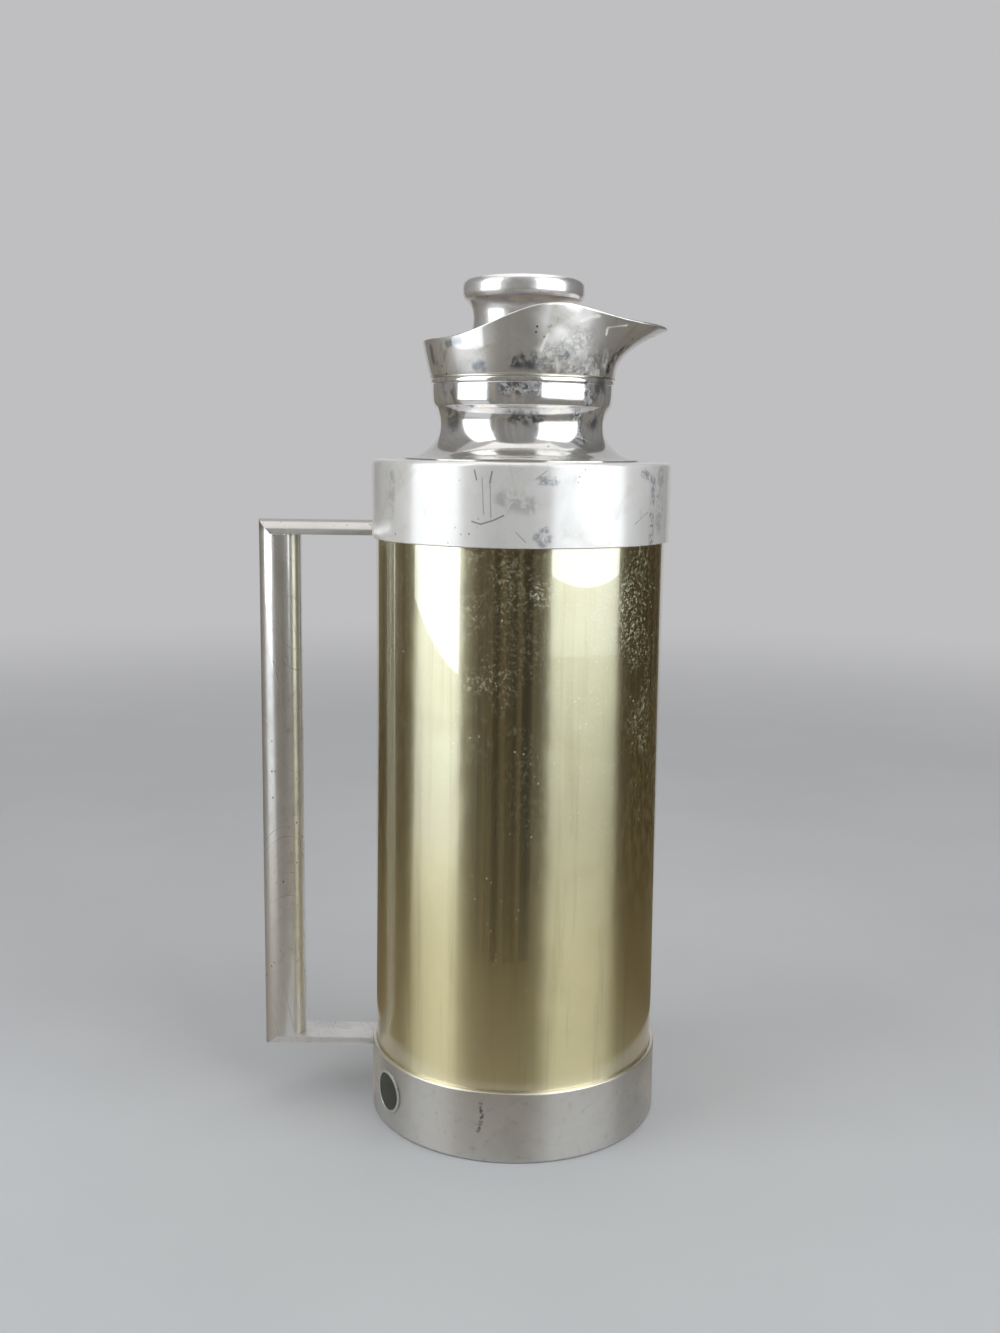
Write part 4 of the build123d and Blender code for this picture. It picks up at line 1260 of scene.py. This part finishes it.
    def cards_and_mats(self):
        """Cards and mats round the jug that only reflections show, with bearings in degrees and sizes in
        metres: mostly dark, with a painted glow on the floor near the jug and under the left softbox.
        """
        dark = self.cloth("dark_cloth", 24, (0.020, 0.019, 0.019), (0.165, 0.141, 0.103))
        side = self.cloth("side_cloth", 24, (0.060, 0.058, 0.055), (0.250, 0.225, 0.190))
        dim = self.cloth("dim_cloth", 24, (0.014, 0.013, 0.012), (0.095, 0.080, 0.058))
        close = self.cloth("near_cloth", 190, (0.010, 0.010, 0.010), (0.150, 0.132, 0.115))
        # Pale glow for the floor under the left softbox, a painted reflection
        painted_floor_glow = self.cloth("fading_cloth", 24, (0.56, 0.57, 0.68), (0.56, 0.57, 0.68))
        for name, finish, bearing, half, distance, low, high in (
            ("front_card", dark, -9.3, 32.7, 0.62, 0.0, 1.7),
            ("left_card", side, -117, 33, 1.0, 0.0, 1.4),
            ("right_card", dim, 115, 33, 1.0, 0.0, 1.4),
            ("near_card", close, -8, 18, 0.10, 0.062, 0.25),
        ):
            self.card(name, finish, bearing, half, distance, low, high)
        foot, beside, far = 0.0625, 0.115, 1.3
        for name, finish, first, last, near, wide in (
            ("wide_mat", dark, -44, 150, beside, far),
            ("left_mat", dark, -150, -86, beside, far),
            # The close mats take the painted glow beside the jug
            ("close_mat", dark, -42, 16, foot, beside),
            ("close_left_mat", dark, -150, -88, foot, beside),
            ("close_right_mat", dark, 84, 150, foot, beside),
            # Painted reflection of the floor lit under the left softbox, darker towards the jug
            ("short_mat", painted_floor_glow, -86, -44, beside, 0.45),
        ):
            self.mat(name, finish, first, last, near, wide)

    def lights(self, size):
        """Two upright soft lights, one of which leans, and one overhead."""
        for name, bearing, half, low, lean in (
            ("left_softbox", -63, 21, 0.075, -6.0),
            ("right_softbox", 52.5, 29, 0.135, 0.0),
        ):
            place, width, height = self.upright(bearing, half, size.box_distance, low, self.softbox_top)
            place = place @ Matrix.Rotation(math.radians(lean), 4, "Z")
            self.softbox(name, place, width, height, size.box_radiance, self.cool_light)
        place = Matrix.Translation((0, 0.15, 1.5))
        side = self.overhead_side
        self.softbox("top_softbox", place, side, side, self.overhead_radiance, self.plain_light)

    def room(self, light, pale):
        """Even light all round, and the plain background that the camera and mirrors see."""
        world = bpy.data.worlds.new("pale_room")
        world.use_nodes = True
        nodes = Nodes(world.node_tree)
        even = nodes.tree.nodes["Background"]
        even.inputs["Color"].default_value = (1, 1, 1, 1)
        even.inputs["Strength"].default_value = light
        seen = nodes.add("ShaderNodeBackground")
        seen.inputs["Color"].default_value = (*pale, 1)
        path = nodes.add("ShaderNodeLightPath").outputs
        rays = nodes.most(path["Is Camera Ray"], path["Is Glossy Ray"], path["Is Transmission Ray"])
        nodes.show("World Output", rays, even.outputs["Background"], seen.outputs["Background"])
        bpy.context.scene.world = world

    def camera(self, size):
        """Camera at the photo's view point."""
        lens = bpy.data.cameras.new("camera")
        lens.lens = size.lens
        lens.sensor_width = 36.0
        lens.sensor_fit = "AUTO"
        lens.clip_start = 0.01
        camera = bpy.data.objects.new("camera", lens)
        camera.matrix_world = (
            Matrix.Translation((0, -size.camera_distance, size.camera_height))
            @ Matrix.Rotation(-size.yaw, 4, "Z")
            @ Matrix.Rotation(math.pi / 2 - size.pitch, 4, "X")
            @ Matrix.Rotation(size.roll, 4, "Z")
        )
        bpy.context.scene.collection.objects.link(camera)
        bpy.context.scene.camera = camera

    def execute(self, context):
        size = context.scene.jug_stage
        pale = context.scene.jug_colours.floor
        self.floor(pale)
        self.cards_and_mats()
        self.lights(size)
        self.room(size.room, pale)
        self.camera(size)
        context.scene.view_settings.view_transform = "Standard"
        return {"FINISHED"}


class JUG_PT_panel(bpy.types.Panel):
    """Lists the pieces of the jug"""

    bl_label = "Insulated Jug"
    bl_space_type = "VIEW_3D"
    bl_region_type = "UI"
    bl_category = "Jug"

    def draw(self, context):
        for operator in OPERATORS:
            self.layout.operator(operator.bl_idname)


GROUPS = {
    "jug_body": JugBodySizes,
    "jug_neck": JugNeckSizes,
    "jug_collar": JugCollarSizes,
    "jug_knob": JugKnobSizes,
    "jug_handle": JugHandleSizes,
    "jug_badge": JugBadgeSizes,
    "jug_colours": JugColours,
    "jug_stage": JugStageSizes,
}
OPERATORS = (
    JUG_OT_stage,
    JUG_OT_bands,
    JUG_OT_sleeve,
    JUG_OT_neck,
    JUG_OT_collar,
    JUG_OT_knob,
    JUG_OT_handle,
    JUG_OT_badge,
    JUG_OT_inside,
)


def register():
    for group in GROUPS.values():
        bpy.utils.register_class(group)
    for name, group in GROUPS.items():
        setattr(bpy.types.Scene, name, bpy.props.PointerProperty(type=group))
    for operator in OPERATORS:
        bpy.utils.register_class(operator)
    bpy.utils.register_class(JUG_PT_panel)


def unregister():
    bpy.utils.unregister_class(JUG_PT_panel)
    for operator in reversed(OPERATORS):
        bpy.utils.unregister_class(operator)
    for name in GROUPS:
        delattr(bpy.types.Scene, name)
    for group in reversed(list(GROUPS.values())):
        bpy.utils.unregister_class(group)


def main():
    """Build the whole scene."""
    register()
    bpy.ops.jug.stage()
    bpy.ops.jug.bands()
    bpy.ops.jug.sleeve()
    bpy.ops.jug.neck()
    bpy.ops.jug.collar()
    bpy.ops.jug.knob()
    bpy.ops.jug.handle()
    bpy.ops.jug.badge()
    bpy.ops.jug.inside()


if __name__ == "__main__":
    main()
